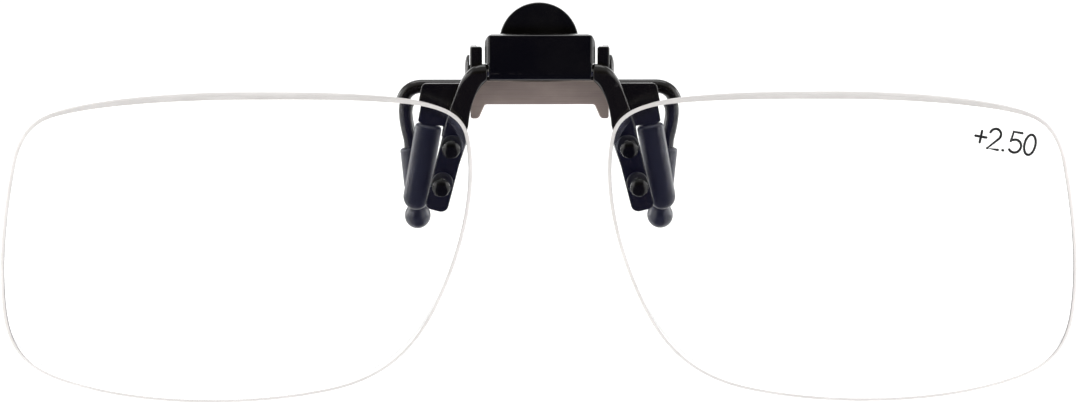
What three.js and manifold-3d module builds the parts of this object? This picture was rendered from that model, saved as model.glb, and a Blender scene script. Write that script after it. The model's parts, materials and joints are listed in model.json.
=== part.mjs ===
// Clip on flip lenses: two clear rimless reading lenses hang from a sprung metal clip that grips a
// pair of spectacles. The lenses flip up on an axle in the hinge cover, and squeezing the thumb tab
// opens the rear prongs.
//
// Millimetres. +X is to the right as seen from the front, -Y is the front, +Z is up. The origin is in
// the middle of the closed jaws, on the plane of symmetry, where the spectacles are gripped.
import * as THREE from "three";
import { mergeVertices } from "three/addons/utils/BufferGeometryUtils.js";
import Module from "manifold-3d";

const wasm = await Module();
wasm.setup();

const DEG = Math.PI / 180;

// Fits between neighbours
const SEAT_GAP = 0.08; // between pieces fastened to each other
const RUN_GAP = 0.05; // radial clearance of a turning pin in its hole

// Axes of the two hinges
const FLIP_AXIS = { y: -6.3, z: 12.07 };
const CLAMP_AXIS = { y: -2.4, z: 12.1 };

// Lenses
const LENS_TILT = 9 * DEG; // lean of the lenses, lower edge towards the face
const LENS_POWER = 2.5; // dioptres
const LENS_INDEX = 1.5;
const LENS_FRONT_R = 100; // radius of the front surface
const LENS_CENTRE_T = 3.0; // thickness at the optical centre
const LENS_CENTRE = { x: 35.2, z: -20.35 }; // from the flip axis
const LENS_BACK_Y = -3.0; // back vertex, in front of the arm's middle plane
const LENS_EDGE_LEAN = 0.016; // share by which the back surface is narrower
const LENS_RINGS = 4;
const LENS_SPOKES = 68;

// Lens arms
const ARM_T = 0.9;
const ARM_WIDTH = 2.75;
const ARM_ROOT_R = 0.95;
const ARM_ROOT_X = [6.1, 7.7];
const SCREW_UPPER = { x: 10.32, z: -8.6 };
const SCREW_LOWER = { x: 11.48, z: -13.0 };
const ARM_END_Z = -16.4;
const ARM_END_R = 0.8; // of the lower corners

// Screws, washers and nuts
const SCREW_R = 0.5;
const HEAD_R = 1.05;
const HEAD_H = 0.7;
const HOLE_R = 0.65;
const WASHER_R = 1.25;
const NUT_R = 1.25;
const NUT_T = 0.9;

// Hinge cover, with the flip barrel along its lower edge
const COVER_HALF = 6.4;
const COVER_T = 0.45;
const COVER_TOP = 16.42;
const COVER_FRONT = 0.85; // from the flip axis
const COVER_BACK_Y = -5.0;
const COVER_CORNER_R = 1.1;
const COVER_SLOPE = { inset: 0.62, depth: 0.95 }; // of the side walls, next to the face
const COVER_SIDE_FOOT = ARM_ROOT_R + RUN_GAP; // lower edge of the side walls, above the flip axis
const BARREL_R = 1.0;
const BARREL_HALF = 5.9;
const AXLE_R = 0.55;
const AXLE_HALF = 7.3;
const AXLE_SQUARE = { side: 0.78, half: 2.6 };
const LEAF_T = 0.3;
const LEAF_HALF = 2.3;

// Front plate with its ears
const PLATE_T = 0.8;
const PLATE_FRONT_Y = -4.9;
const PLATE_FOOT_Z = 11.0;
const PLATE_TOP_Z = 15.9;
const PLATE_MID_HALF = 6.15;
const PLATE_SHOULDER_Z = 12.4;
const EAR_X = [6.7, 8.1];
const EAR_TOP_Z = 14.9;
const FLANGE_BACK_Y = -1.1;
const FLANGE_FOOT_Z = 8.35;
const STOP_LIP = { half: 3.0, backY: -1.6 };

// Clamp pin and its coil
const PIN_R = 0.5;
const PIN_HEAD_R = 1.7;
const PIN_HEAD_H = 0.55;
const COIL_WIRE_R = 0.22;
const COIL_R = 0.85;
const COIL_TURNS = 6.15;
const COIL_PITCH = 0.62;

// Bridge saddle
const SADDLE_T = 0.6;
const SADDLE_FRONT_Y = -4.05;
const SADDLE = { top: 10.85, arch: 8.1, foot: 6.45, half: 8.05, archHalf: 6.37 };
const SADDLE_REBATE = { inner: 7.2, foot: 8.2, depth: 0.3 }; // behind its ends, for the flanges

// Front prongs and their sleeves
const PRONG_FRONT_Y = -1.95;
const PRONG_T = 0.8;
const PRONG_TOP_Z = 10.4;
const PRONG_SPLAY = 9.8 * DEG;
const SLEEVE_TOP = { x: 13.3, z: 5.4 };
const FRONT_SLEEVE = { width: 3.1, depth: 2.6, length: 9.9, edge: 0.7 };
const PRONG_TIP_WIDTH = 1.7;
const PRONG_TIP_LENGTH = 8.3;

// Rear clamp, wires and sleeves
const CLAMP_T = 0.7;
const CLAMP_FRONT_Y = 0.2;
const CLAMP_HALF = 6.05;
const TAB_R = 4.65;
const TAB_CENTRE_Z = 15.05;
const LUG_FRONT_Y = -3.3;
const LUG_TOP_Z = 13.7;
const LUG_FOOT_Z = 11.0;
const WIRE_R = 0.8;
const WIRE_Z = 9.76;
const WIRE_Y = CLAMP_FRONT_Y + CLAMP_T + SEAT_GAP + WIRE_R;
const BALL = { x: 14.8, z: -5.42, r: 1.5 };
const REAR_SLEEVE = { r: 1.3, length: 7.8, toe: 5.5 * DEG };

// ---------------------------------------------------------------- solids

function toSolid(geometry) {
  const plain = geometry.index ? geometry.clone() : geometry;
  plain.deleteAttribute("normal");
  plain.deleteAttribute("uv");
  const merged = mergeVertices(plain, 1e-5);
  return new wasm.Manifold(new wasm.Mesh({
    numProp: 3,
    vertProperties: new Float32Array(merged.attributes.position.array),
    triVerts: new Uint32Array(merged.index.array),
  }));
}

function toGeometry(solid) {
  const mesh = solid.getMesh();
  const geometry = new THREE.BufferGeometry();
  geometry.setAttribute("position", new THREE.BufferAttribute(mesh.vertProperties, 3));
  geometry.setIndex(new THREE.BufferAttribute(mesh.triVerts, 1));
  geometry.computeVertexNormals();
  return geometry;
}

// A block between two corners
function block(low, high) {
  const size = high.map((value, axis) => value - low[axis]);
  const geometry = new THREE.BoxGeometry(...size);
  geometry.translate(...low.map((value, axis) => value + size[axis] / 2));
  return toSolid(geometry);
}

// An outline drawn in (x, z), given thickness from yFront back to yBack
function plateXZ(shape, yFront, yBack, segments = 8) {
  const options = { depth: yBack - yFront, bevelEnabled: false, curveSegments: segments };
  const geometry = new THREE.ExtrudeGeometry(shape, options);
  const basis = new THREE.Matrix4().makeBasis(
    new THREE.Vector3(1, 0, 0), new THREE.Vector3(0, 0, 1), new THREE.Vector3(0, -1, 0));
  geometry.applyMatrix4(basis);
  geometry.translate(0, yBack, 0);
  return toSolid(geometry);
}

// A profile drawn in (y, z), drawn out along X from x0 to x1
function profileYZ(shape, x0, x1, segments = 8) {
  const options = { depth: x1 - x0, bevelEnabled: false, curveSegments: segments };
  const geometry = new THREE.ExtrudeGeometry(shape, options);
  const basis = new THREE.Matrix4().makeBasis(
    new THREE.Vector3(0, 1, 0), new THREE.Vector3(0, 0, 1), new THREE.Vector3(1, 0, 0));
  geometry.applyMatrix4(basis);
  geometry.translate(x0, 0, 0);
  return toSolid(geometry);
}

// A rod along X
function rodX(radius, x0, x1, y, z, sides = 20) {
  const geometry = new THREE.CylinderGeometry(radius, radius, x1 - x0, sides);
  geometry.rotateZ(Math.PI / 2);
  geometry.translate((x0 + x1) / 2, y, z);
  return toSolid(geometry);
}

// A rod along Y, from the front to the back
function rodY(radius, yFront, yBack, x, z, sides = 16) {
  const geometry = new THREE.CylinderGeometry(radius, radius, yBack - yFront, sides);
  geometry.translate(x, (yFront + yBack) / 2, z);
  return toSolid(geometry);
}

// A round bar of the given radius along a curve, with an even number of sides
function bar(curve, radius, steps, sides) {
  const section = new THREE.Shape().absarc(0, 0, radius, 0, 2 * Math.PI);
  const options = { steps, extrudePath: curve, curveSegments: sides / 2 };
  return toSolid(new THREE.ExtrudeGeometry(section, options));
}

function finish(color, roughness, metalness, extra = {}) {
  return new THREE.MeshStandardMaterial({ color, roughness, metalness, ...extra });
}

const BLACK = finish(0x141314, 0.42, 0.6);
const BARE = finish(0x8d7f78, 0.35, 0.9);
const STEEL = finish(0x9a9a98, 0.3, 0.95);
const VINYL = finish(0x16161f, 0.45, 0.0);
const CLEAR = finish(0xf4f8fb, 0.05, 0.0, { transparent: true, opacity: 0.25 });
const NYLON = finish(0x1a1a1c, 0.55, 0.0);

function piece(name, solid, material) {
  const mesh = new THREE.Mesh(toGeometry(solid), material);
  mesh.name = name;
  return mesh;
}

// ---------------------------------------------------------------- lenses

// The lens outline, in x from the plane of symmetry and z from the flip axis
function lensOutline() {
  const outline = new THREE.Shape();
  outline.moveTo(34.0, -1.8);
  outline.bezierCurveTo(28, -1.8, 22, -1.9, 16.2, -2.65); // top, towards the nose
  outline.bezierCurveTo(11.4, -3.28, 8.85, -4.6, 8.25, -7.4);
  outline.bezierCurveTo(6.9, -14.1, 9.4, -22.2, 12.2, -27.85); // nose side
  outline.bezierCurveTo(15.03, -33.5, 18.8, -36.5, 25.45, -37.6);
  outline.bezierCurveTo(34.0, -39.15, 46.4, -39.3, 54.85, -36.95); // bottom
  outline.bezierCurveTo(59.95, -35.6, 62.28, -33.5, 62.72, -28.2);
  outline.bezierCurveTo(63.2, -22.85, 62.44, -16.25, 61.13, -10.15); // temple side
  outline.bezierCurveTo(60.45, -7.4, 59.2, -5.25, 56.35, -4.3);
  outline.bezierCurveTo(51.9, -2.78, 43, -1.8, 34.0, -1.8); // top, towards the temple
  return outline;
}

function sphereSag(radius, distance) {
  return radius - Math.sqrt(radius * radius - distance * distance);
}

// Power = (n - 1)(1 / front radius - 1 / back radius), with radii in metres
function lensBackRadius() {
  const curvature = 1000 / LENS_FRONT_R - LENS_POWER / (LENS_INDEX - 1);
  return 1000 / curvature;
}

// Depth of the back and front surfaces at a distance from the optical centre
const lensBackAt = (distance) => LENS_BACK_Y + sphereSag(lensBackRadius(), distance);
const lensFrontAt = (distance) => LENS_BACK_Y - LENS_CENTRE_T + sphereSag(LENS_FRONT_R, distance);
const fromLensCentre = (x, z) => Math.hypot(x - LENS_CENTRE.x, z - LENS_CENTRE.z);

// Both surfaces are spherical caps on a web of rings and spokes, closed by a band at the rim
function lensBlank() {
  const rim = lensOutline().getSpacedPoints(LENS_SPOKES).slice(0, LENS_SPOKES);
  const positions = [];
  const place = (x, z, front) => {
    const distance = fromLensCentre(x, z);
    const y = front ? lensFrontAt(distance) : lensBackAt(distance);
    positions.push(front ? x : x + (LENS_CENTRE.x - x) * LENS_EDGE_LEAN, y, z);
  };
  for (const front of [true, false]) {
    place(LENS_CENTRE.x, LENS_CENTRE.z, front);
    for (let ring = 1; ring <= LENS_RINGS; ring += 1) {
      const share = ring / LENS_RINGS;
      for (const point of rim) {
        const x = LENS_CENTRE.x + (point.x - LENS_CENTRE.x) * share;
        const z = LENS_CENTRE.z + (point.y - LENS_CENTRE.z) * share;
        place(x, z, front);
      }
    }
  }
  const capSize = 1 + LENS_RINGS * LENS_SPOKES;
  const triangles = [];
  const addFace = (a, b, c, flip = false) => triangles.push(a, flip ? c : b, flip ? b : c);
  const vertex = (cap, ring, spoke) => cap * capSize + 1 + (ring - 1) * LENS_SPOKES + spoke % LENS_SPOKES;
  for (const cap of [0, 1]) {
    for (let spoke = 0; spoke < LENS_SPOKES; spoke += 1) {
      addFace(cap * capSize, vertex(cap, 1, spoke), vertex(cap, 1, spoke + 1), cap === 1);
      for (let ring = 1; ring < LENS_RINGS; ring += 1) {
        const inner = vertex(cap, ring, spoke);
        const innerNext = vertex(cap, ring, spoke + 1);
        const outer = vertex(cap, ring + 1, spoke);
        const outerNext = vertex(cap, ring + 1, spoke + 1);
        addFace(inner, outer, outerNext, cap === 1);
        addFace(inner, outerNext, innerNext, cap === 1);
      }
    }
  }
  for (let spoke = 0; spoke < LENS_SPOKES; spoke += 1) {
    const front = vertex(0, LENS_RINGS, spoke);
    const frontNext = vertex(0, LENS_RINGS, spoke + 1);
    const back = vertex(1, LENS_RINGS, spoke);
    const backNext = vertex(1, LENS_RINGS, spoke + 1);
    addFace(frontNext, front, back);
    addFace(frontNext, back, backNext);
  }
  const geometry = new THREE.BufferGeometry();
  geometry.setAttribute("position", new THREE.Float32BufferAttribute(positions, 3));
  geometry.setIndex(triangles);
  return toSolid(geometry);
}

function lens() {
  let solid = lensBlank();
  for (const { x, z } of [SCREW_UPPER, SCREW_LOWER]) {
    solid = solid.subtract(rodY(HOLE_R, -8, 4, x, z, 12));
  }
  return solid;
}

// ---------------------------------------------------------------- lens arms and their fasteners

// Middle line of the straight lower part of the arm, which passes through both screws
const ARM_SLOPE = (SCREW_LOWER.x - SCREW_UPPER.x) / (SCREW_LOWER.z - SCREW_UPPER.z);
const armMiddle = (z) => SCREW_UPPER.x + (z - SCREW_UPPER.z) * ARM_SLOPE;

function armOutline() {
  const lean = Math.atan(-ARM_SLOPE);
  const half = ARM_WIDTH / 2;
  const side = new THREE.Vector2(Math.cos(lean), Math.sin(lean)).multiplyScalar(half);
  const neckZ = -6.0;
  const outline = new THREE.Shape();
  outline.moveTo(6.5, -1.3);
  outline.bezierCurveTo(7.2, -2.0, 8.05, -2.9, armMiddle(neckZ) - side.x, neckZ - side.y);
  const end = new THREE.Vector2(armMiddle(ARM_END_Z), ARM_END_Z);
  const up = new THREE.Vector2(-side.y, side.x).setLength(ARM_END_R);
  for (const direction of [-1, 1]) {
    const corner = end.clone().addScaledVector(side, direction);
    const onEdge = corner.clone().add(up);
    const onEnd = corner.clone().addScaledVector(side, -direction * ARM_END_R / half);
    const [first, last] = direction < 0 ? [onEdge, onEnd] : [onEnd, onEdge];
    outline.lineTo(first.x, first.y);
    outline.quadraticCurveTo(corner.x, corner.y, last.x, last.y);
  }
  outline.lineTo(armMiddle(neckZ) + side.x, neckZ + side.y);
  outline.bezierCurveTo(10.2, -3.9, 9.9, -2.6, 9.25, -1.2);
  outline.bezierCurveTo(8.6, 0.1, 7.8, 0.85, 6.5, 0.85);
  outline.closePath();
  return outline;
}

function lensArm() {
  let solid = plateXZ(armOutline(), -ARM_T / 2, ARM_T / 2, 7);
  solid = solid.add(rodX(ARM_ROOT_R, ARM_ROOT_X[0], ARM_ROOT_X[1], 0, 0));
  for (const { x, z } of [SCREW_UPPER, SCREW_LOWER]) {
    solid = solid.subtract(rodY(HOLE_R, -2, 2, x, z, 12));
  }
  return solid.subtract(rodX(AXLE_R + SEAT_GAP, ARM_ROOT_X[0] - 1, AXLE_HALF + SEAT_GAP, 0, 0));
}

function flipAxle() {
  const end = rodX(AXLE_R, -AXLE_HALF, AXLE_HALF, 0, 0);
  const { side, half } = AXLE_SQUARE;
  const waist = block([-half, -1, -1], [half, 1, 1]);
  const square = block([-half, -side / 2, -side / 2], [half, side / 2, side / 2]);
  return end.subtract(waist).add(square);
}

// A domed head turned about the screw's own axis, its flat side at the origin, facing the front
function domedHead(radius, height, sides = 16) {
  const profile = [new THREE.Vector2(0, 0), new THREE.Vector2(radius, 0)];
  const rimHeight = height * 0.25;
  const steps = 4;
  for (let step = 0; step < steps; step += 1) {
    const angle = (step / steps) * Math.PI / 2;
    profile.push(new THREE.Vector2(
      radius * Math.cos(angle), rimHeight + (height - rimHeight) * Math.sin(angle)));
  }
  profile.push(new THREE.Vector2(0, height));
  return new THREE.LatheGeometry(profile, sides);
}

// The screw, washer and nut at one hole of the arm
function fasteners(side, level, { x, z }) {
  const distance = fromLensCentre(x, z);
  const headY = lensFrontAt(distance - HEAD_R) - SEAT_GAP;
  const nutFront = ARM_T / 2 + SEAT_GAP;
  const head = domedHead(HEAD_R, HEAD_H);
  head.rotateX(Math.PI);
  head.translate(x, headY, z);
  const screw = toSolid(head)
    .add(rodY(SCREW_R, headY - 0.1, nutFront + NUT_T + 0.2, x, z, 12));
  const washerBack = -ARM_T / 2 - SEAT_GAP;
  const washerFront = lensBackAt(distance + WASHER_R) + SEAT_GAP;
  const washer = rodY(WASHER_R, washerFront, washerBack, x, z)
    .subtract(rodY(HOLE_R, -8, 4, x, z, 12));
  const nut = rodY(NUT_R, nutFront, nutFront + NUT_T, x, z, 6)
    .subtract(rodY(SCREW_R + SEAT_GAP, -2, 4, x, z, 12));
  return [
    piece(`screw_${side}_${level}`, screw, BLACK),
    piece(`washer_${side}_${level}`, washer, NYLON),
    piece(`nut_${side}_${level}`, nut, STEEL),
  ];
}

function lensSet() {
  const set = new THREE.Group();
  set.position.set(0, FLIP_AXIS.y, FLIP_AXIS.z);
  set.rotation.x = LENS_TILT;
  set.add(piece("flip_axle", flipAxle(), STEEL));
  for (const [side, direction] of [["left", -1], ["right", 1]]) {
    const half = new THREE.Group();
    half.scale.x = direction;
    half.add(piece(`lens_${side}`, lens(), CLEAR));
    half.add(piece(`lens_arm_${side}`, lensArm(), BLACK));
    half.add(...fasteners(side, "upper", SCREW_UPPER));
    half.add(...fasteners(side, "lower", SCREW_LOWER));
    set.add(half);
  }
  return set;
}

// ---------------------------------------------------------------- hinge cover

// Outline of the cover's face: round upper corners, straight foot
function coverFace(half, foot, top, corner) {
  const face = new THREE.Shape();
  face.moveTo(-half, foot);
  face.lineTo(half, foot);
  face.lineTo(half, top - corner);
  face.absarc(half - corner, top - corner, corner, 0, Math.PI / 2);
  face.absarc(corner - half, top - corner, corner, Math.PI / 2, Math.PI);
  face.closePath();
  return face;
}

// A block seen from above as the cover is: its side walls slope in towards the face
function coverPlan(half, faceHalf, yFront, slopeDepth, yBack) {
  const plan = new THREE.Shape();
  plan.moveTo(-faceHalf, yFront);
  plan.lineTo(faceHalf, yFront);
  plan.lineTo(half, yFront + slopeDepth);
  plan.lineTo(half, yBack);
  plan.lineTo(-half, yBack);
  plan.lineTo(-half, yFront + slopeDepth);
  plan.closePath();
  return toSolid(new THREE.ExtrudeGeometry(plan, { depth: COVER_TOP, bevelEnabled: false }));
}

function hingeCover() {
  const frontY = FLIP_AXIS.y - COVER_FRONT;
  const footZ = FLIP_AXIS.z + COVER_SIDE_FOOT;
  const inner = COVER_HALF - COVER_T;
  const { inset, depth } = COVER_SLOPE;
  const shellOuter = plateXZ(
    coverFace(COVER_HALF, footZ, COVER_TOP, COVER_CORNER_R), frontY, COVER_BACK_Y)
    .intersect(coverPlan(COVER_HALF, COVER_HALF - inset, frontY, depth, COVER_BACK_Y + 1));
  const shellInner = plateXZ(
    coverFace(inner, footZ - 1, COVER_TOP - COVER_T, COVER_CORNER_R - COVER_T),
    frontY + COVER_T, COVER_BACK_Y + 1)
    .intersect(coverPlan(inner, inner - inset, frontY + COVER_T, depth, COVER_BACK_Y + 2));
  const faceFoot = block(
    [-BARREL_HALF, frontY, FLIP_AXIS.z], [BARREL_HALF, frontY + COVER_T, footZ + 0.2]);
  const barrel = rodX(BARREL_R, -BARREL_HALF, BARREL_HALF, FLIP_AXIS.y, FLIP_AXIS.z, 28);
  const bore = rodX(AXLE_R + RUN_GAP + 0.02, -9, 9, FLIP_AXIS.y, FLIP_AXIS.z, 28);
  const window = block(
    [-LEAF_HALF - 0.4, frontY + COVER_T, FLIP_AXIS.z], [LEAF_HALF + 0.4, COVER_BACK_Y, footZ]);
  return shellOuter.subtract(shellInner).add(faceFoot).add(barrel).subtract(bore).subtract(window);
}

// Leaf spring: a standing strip whose foot bends forward over the axle's square waist
function detentSpring() {
  const back = COVER_BACK_Y - SEAT_GAP;
  const top = COVER_TOP - COVER_T - SEAT_GAP;
  const footTop = FLIP_AXIS.z + AXLE_R + 0.12 + LEAF_T;
  const tipY = FLIP_AXIS.y - 0.25;
  const bend = 0.5;
  const strip = new THREE.Shape();
  strip.moveTo(back, top);
  strip.lineTo(back - LEAF_T, top);
  strip.lineTo(back - LEAF_T, footTop + bend - LEAF_T);
  strip.absarc(back - bend, footTop + bend - LEAF_T, bend - LEAF_T, 0, -Math.PI / 2, true);
  strip.lineTo(tipY, footTop);
  strip.lineTo(tipY, footTop - LEAF_T);
  strip.lineTo(back - bend, footTop - LEAF_T);
  strip.absarc(back - bend, footTop + bend - LEAF_T, bend, -Math.PI / 2, 0);
  strip.closePath();
  return profileYZ(strip, -LEAF_HALF, LEAF_HALF, 4);
}

// ---------------------------------------------------------------- fixed front of the clip

function frontPlate() {
  const backY = PLATE_FRONT_Y + PLATE_T;
  const face = new THREE.Shape();
  face.moveTo(-EAR_X[1], PLATE_FOOT_Z);
  face.lineTo(EAR_X[1], PLATE_FOOT_Z);
  face.lineTo(EAR_X[1], EAR_TOP_Z);
  face.lineTo(EAR_X[0], EAR_TOP_Z);
  face.lineTo(EAR_X[0], PLATE_SHOULDER_Z);
  face.lineTo(PLATE_MID_HALF, PLATE_SHOULDER_Z);
  face.lineTo(PLATE_MID_HALF, PLATE_TOP_Z);
  face.lineTo(-PLATE_MID_HALF, PLATE_TOP_Z);
  face.lineTo(-PLATE_MID_HALF, PLATE_SHOULDER_Z);
  face.lineTo(-EAR_X[0], PLATE_SHOULDER_Z);
  face.lineTo(-EAR_X[0], EAR_TOP_Z);
  face.lineTo(-EAR_X[1], EAR_TOP_Z);
  face.closePath();
  let solid = plateXZ(face, PLATE_FRONT_Y, backY);

  const nose = 1.4;
  const legFrontY = SADDLE_FRONT_Y + SADDLE_T - SADDLE_REBATE.depth + SEAT_GAP;
  const flange = new THREE.Shape();
  flange.moveTo(PLATE_FRONT_Y, EAR_TOP_Z);
  flange.lineTo(PLATE_FRONT_Y, PLATE_FOOT_Z);
  flange.lineTo(legFrontY, PLATE_FOOT_Z);
  flange.lineTo(legFrontY, FLANGE_FOOT_Z);
  flange.lineTo(FLANGE_BACK_Y, FLANGE_FOOT_Z);
  flange.lineTo(FLANGE_BACK_Y, EAR_TOP_Z - nose);
  flange.absarc(FLANGE_BACK_Y - nose, EAR_TOP_Z - nose, nose, 0, Math.PI / 2);
  flange.closePath();
  for (const x0 of [-EAR_X[1], EAR_X[1] - PLATE_T]) {
    solid = solid.add(profileYZ(flange, x0, x0 + PLATE_T, 5));
  }

  const { half, backY: lipY } = STOP_LIP;
  solid = solid.add(block([-half, backY - 0.2, PLATE_TOP_Z - PLATE_T], [half, lipY, PLATE_TOP_Z]));
  return solid.subtract(rodX(PIN_R + SEAT_GAP, -9, 9, CLAMP_AXIS.y, CLAMP_AXIS.z));
}

function clampPin() {
  const shoulder = EAR_X[1] + SEAT_GAP;
  let pin = rodX(PIN_R, -shoulder - 0.1, shoulder + 0.1, CLAMP_AXIS.y, CLAMP_AXIS.z);
  for (const direction of [-1, 1]) {
    const head = domedHead(PIN_HEAD_R, PIN_HEAD_H, 20);
    head.rotateZ(-direction * Math.PI / 2);
    head.translate(direction * shoulder, CLAMP_AXIS.y, CLAMP_AXIS.z);
    pin = pin.add(toSolid(head));
  }
  return pin;
}

// The coil's turns, from the front of the pin up, over and round it
class CoilPath extends THREE.Curve {
  getPoint(share, target = new THREE.Vector3()) {
    const angle = share * COIL_TURNS * 2 * Math.PI;
    const x = (share - 0.5) * COIL_TURNS * COIL_PITCH;
    const { y, z } = CLAMP_AXIS;
    return target.set(x, y - COIL_R * Math.cos(angle), z + COIL_R * Math.sin(angle));
  }
}

// One leg bears on the foot of the front plate, the other leaves the last turn for the thumb tab
function torsionSpring() {
  const path = new CoilPath();
  const coil = bar(path, COIL_WIRE_R, Math.round(COIL_TURNS * 12), 6);
  const first = path.getPoint(0);
  const last = path.getPoint(1);
  const footEnd = first.clone();
  footEnd.y = PLATE_FRONT_Y + PLATE_T + COIL_WIRE_R + SEAT_GAP;
  footEnd.z = PLATE_FOOT_Z + 0.1;
  const tabEnd = last.clone();
  const leaving = path.getTangent(1);
  const run = (CLAMP_FRONT_Y - COIL_WIRE_R - SEAT_GAP - last.y) / leaving.y;
  tabEnd.addScaledVector(leaving, run);
  tabEnd.x = last.x;
  const footLeg = bar(new THREE.LineCurve3(first, footEnd), COIL_WIRE_R, 1, 6);
  const tabLeg = bar(new THREE.LineCurve3(last, tabEnd), COIL_WIRE_R, 1, 6);
  return coil.add(footLeg).add(tabLeg);
}

function bridgeSaddle() {
  const { top, arch, foot, half, archHalf } = SADDLE;
  const footInner = archHalf + 0.63;
  const corners = [
    [half, top], [half, foot], [footInner + 0.25, foot], [footInner, foot + 0.15], [archHalf, arch],
  ];
  const outline = new THREE.Shape();
  outline.setFromPoints([
    ...corners.map(([x, z]) => new THREE.Vector2(x, z)),
    ...corners.reverse().map(([x, z]) => new THREE.Vector2(-x, z)),
  ]);
  const backY = SADDLE_FRONT_Y + SADDLE_T;
  let solid = plateXZ(outline, SADDLE_FRONT_Y, backY);
  const { inner, foot: rebateFoot, depth } = SADDLE_REBATE;
  for (const [x0, x1] of [[-half - 1, -inner], [inner, half + 1]]) {
    solid = solid.subtract(block([x0, backY - depth, rebateFoot], [x1, backY + 1, top + 1]));
  }
  return solid;
}

// Direction down a front prong, and a point at a distance down it, offset to the outside
const prongDown = new THREE.Vector2(Math.sin(PRONG_SPLAY), -Math.cos(PRONG_SPLAY));
const prongOut = new THREE.Vector2(Math.cos(PRONG_SPLAY), Math.sin(PRONG_SPLAY));
function prongPoint(down, out) {
  return new THREE.Vector2(SLEEVE_TOP.x, SLEEVE_TOP.z)
    .addScaledVector(prongDown, down)
    .addScaledVector(prongOut, out);
}

// The blade of a front prong below the sleeve's mouth; margin widens it for the sleeve's pocket
function prongTip(margin) {
  const half = PRONG_TIP_WIDTH / 2 + margin;
  const end = PRONG_TIP_LENGTH + margin;
  const outline = new THREE.Shape();
  outline.setFromPoints([
    prongPoint(-0.5, -half), prongPoint(end - 0.6, -half), prongPoint(end, -half + 0.6),
    prongPoint(end, half - 0.6), prongPoint(end - 0.6, half), prongPoint(-0.5, half),
  ]);
  return plateXZ(outline, PRONG_FRONT_Y - margin, PRONG_FRONT_Y + PRONG_T + margin);
}

function frontProng() {
  const inner = EAR_X[1] + SEAT_GAP;
  const besideSleeve = -FRONT_SLEEVE.width / 2 - 0.13;
  const aboveSleeve = -0.1;
  const [tongue, bay, corner] = [
    prongPoint(1.3, besideSleeve), prongPoint(aboveSleeve, besideSleeve), prongPoint(aboveSleeve, 1.3),
  ];
  const wing = new THREE.Shape();
  wing.moveTo(inner, PRONG_TOP_Z);
  wing.lineTo(inner, FLANGE_FOOT_Z);
  wing.quadraticCurveTo(9.2, 6.3, 10.5, 5.0);
  wing.lineTo(tongue.x, tongue.y);
  wing.lineTo(bay.x, bay.y);
  wing.lineTo(corner.x, corner.y);
  wing.lineTo(13.75, 9.6);
  wing.quadraticCurveTo(13.65, PRONG_TOP_Z, 13.0, PRONG_TOP_Z);
  wing.closePath();
  return plateXZ(wing, PRONG_FRONT_Y, PRONG_FRONT_Y + PRONG_T, 4).add(prongTip(0));
}

function frontSleeve() {
  const { width, depth, length, edge } = FRONT_SLEEVE;
  const half = width / 2;
  const outline = new THREE.Shape();
  outline.moveTo(-half + edge, -edge);
  outline.lineTo(half - edge, -edge);
  outline.lineTo(half - edge, -length + half);
  outline.absarc(0, -length + half, half - edge, 0, -Math.PI, true);
  outline.closePath();
  const geometry = new THREE.ExtrudeGeometry(outline, {
    depth: depth - 2 * edge, bevelThickness: edge, bevelSize: edge, bevelSegments: 4, curveSegments: 8,
  });
  geometry.rotateX(Math.PI / 2);
  geometry.translate(0, depth / 2 - edge, 0);
  geometry.rotateY(-PRONG_SPLAY);
  geometry.translate(SLEEVE_TOP.x, PRONG_FRONT_Y + PRONG_T / 2, SLEEVE_TOP.z);
  return toSolid(geometry).subtract(prongTip(SEAT_GAP));
}

// ---------------------------------------------------------------- sprung rear of the clip

function rearClamp() {
  const backY = CLAMP_FRONT_Y + CLAMP_T;
  const tab = new THREE.Shape();
  tab.moveTo(-CLAMP_HALF, WIRE_Z);
  tab.lineTo(CLAMP_HALF, WIRE_Z);
  tab.lineTo(CLAMP_HALF, TAB_CENTRE_Z - 0.6);
  tab.lineTo(CLAMP_HALF - 0.6, TAB_CENTRE_Z);
  tab.lineTo(TAB_R, TAB_CENTRE_Z);
  tab.absarc(0, TAB_CENTRE_Z, TAB_R, 0, Math.PI);
  tab.lineTo(0.6 - CLAMP_HALF, TAB_CENTRE_Z);
  tab.lineTo(-CLAMP_HALF, TAB_CENTRE_Z - 0.6);
  tab.closePath();
  let solid = plateXZ(tab, CLAMP_FRONT_Y, backY, 24);

  const outer = WIRE_R + SEAT_GAP + CLAMP_T;
  const curlEnd = 0.25 * Math.PI;
  const curl = new THREE.Shape();
  curl.absarc(WIRE_Y, WIRE_Z, outer, Math.PI, 2 * Math.PI + curlEnd);
  curl.absarc(WIRE_Y, WIRE_Z, WIRE_R + SEAT_GAP, 2 * Math.PI + curlEnd, Math.PI, true);
  curl.closePath();
  solid = solid.add(profileYZ(curl, -CLAMP_HALF, CLAMP_HALF, 16));

  const nose = (LUG_TOP_Z - LUG_FOOT_Z) / 2 - 0.2;
  const lug = new THREE.Shape();
  lug.moveTo(backY, LUG_TOP_Z);
  lug.lineTo(LUG_FRONT_Y + nose, LUG_TOP_Z);
  lug.absarc(LUG_FRONT_Y + nose, LUG_TOP_Z - nose, nose, Math.PI / 2, Math.PI);
  lug.absarc(LUG_FRONT_Y + nose, LUG_FOOT_Z + nose, nose, Math.PI, 1.5 * Math.PI);
  lug.lineTo(backY, LUG_FOOT_Z);
  lug.closePath();
  for (const x0 of [-CLAMP_HALF, CLAMP_HALF - CLAMP_T]) {
    solid = solid.add(profileYZ(lug, x0, x0 + CLAMP_T, 5));
  }
  return solid.subtract(rodX(PIN_R + RUN_GAP, -9, 9, CLAMP_AXIS.y, CLAMP_AXIS.z));
}

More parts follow.
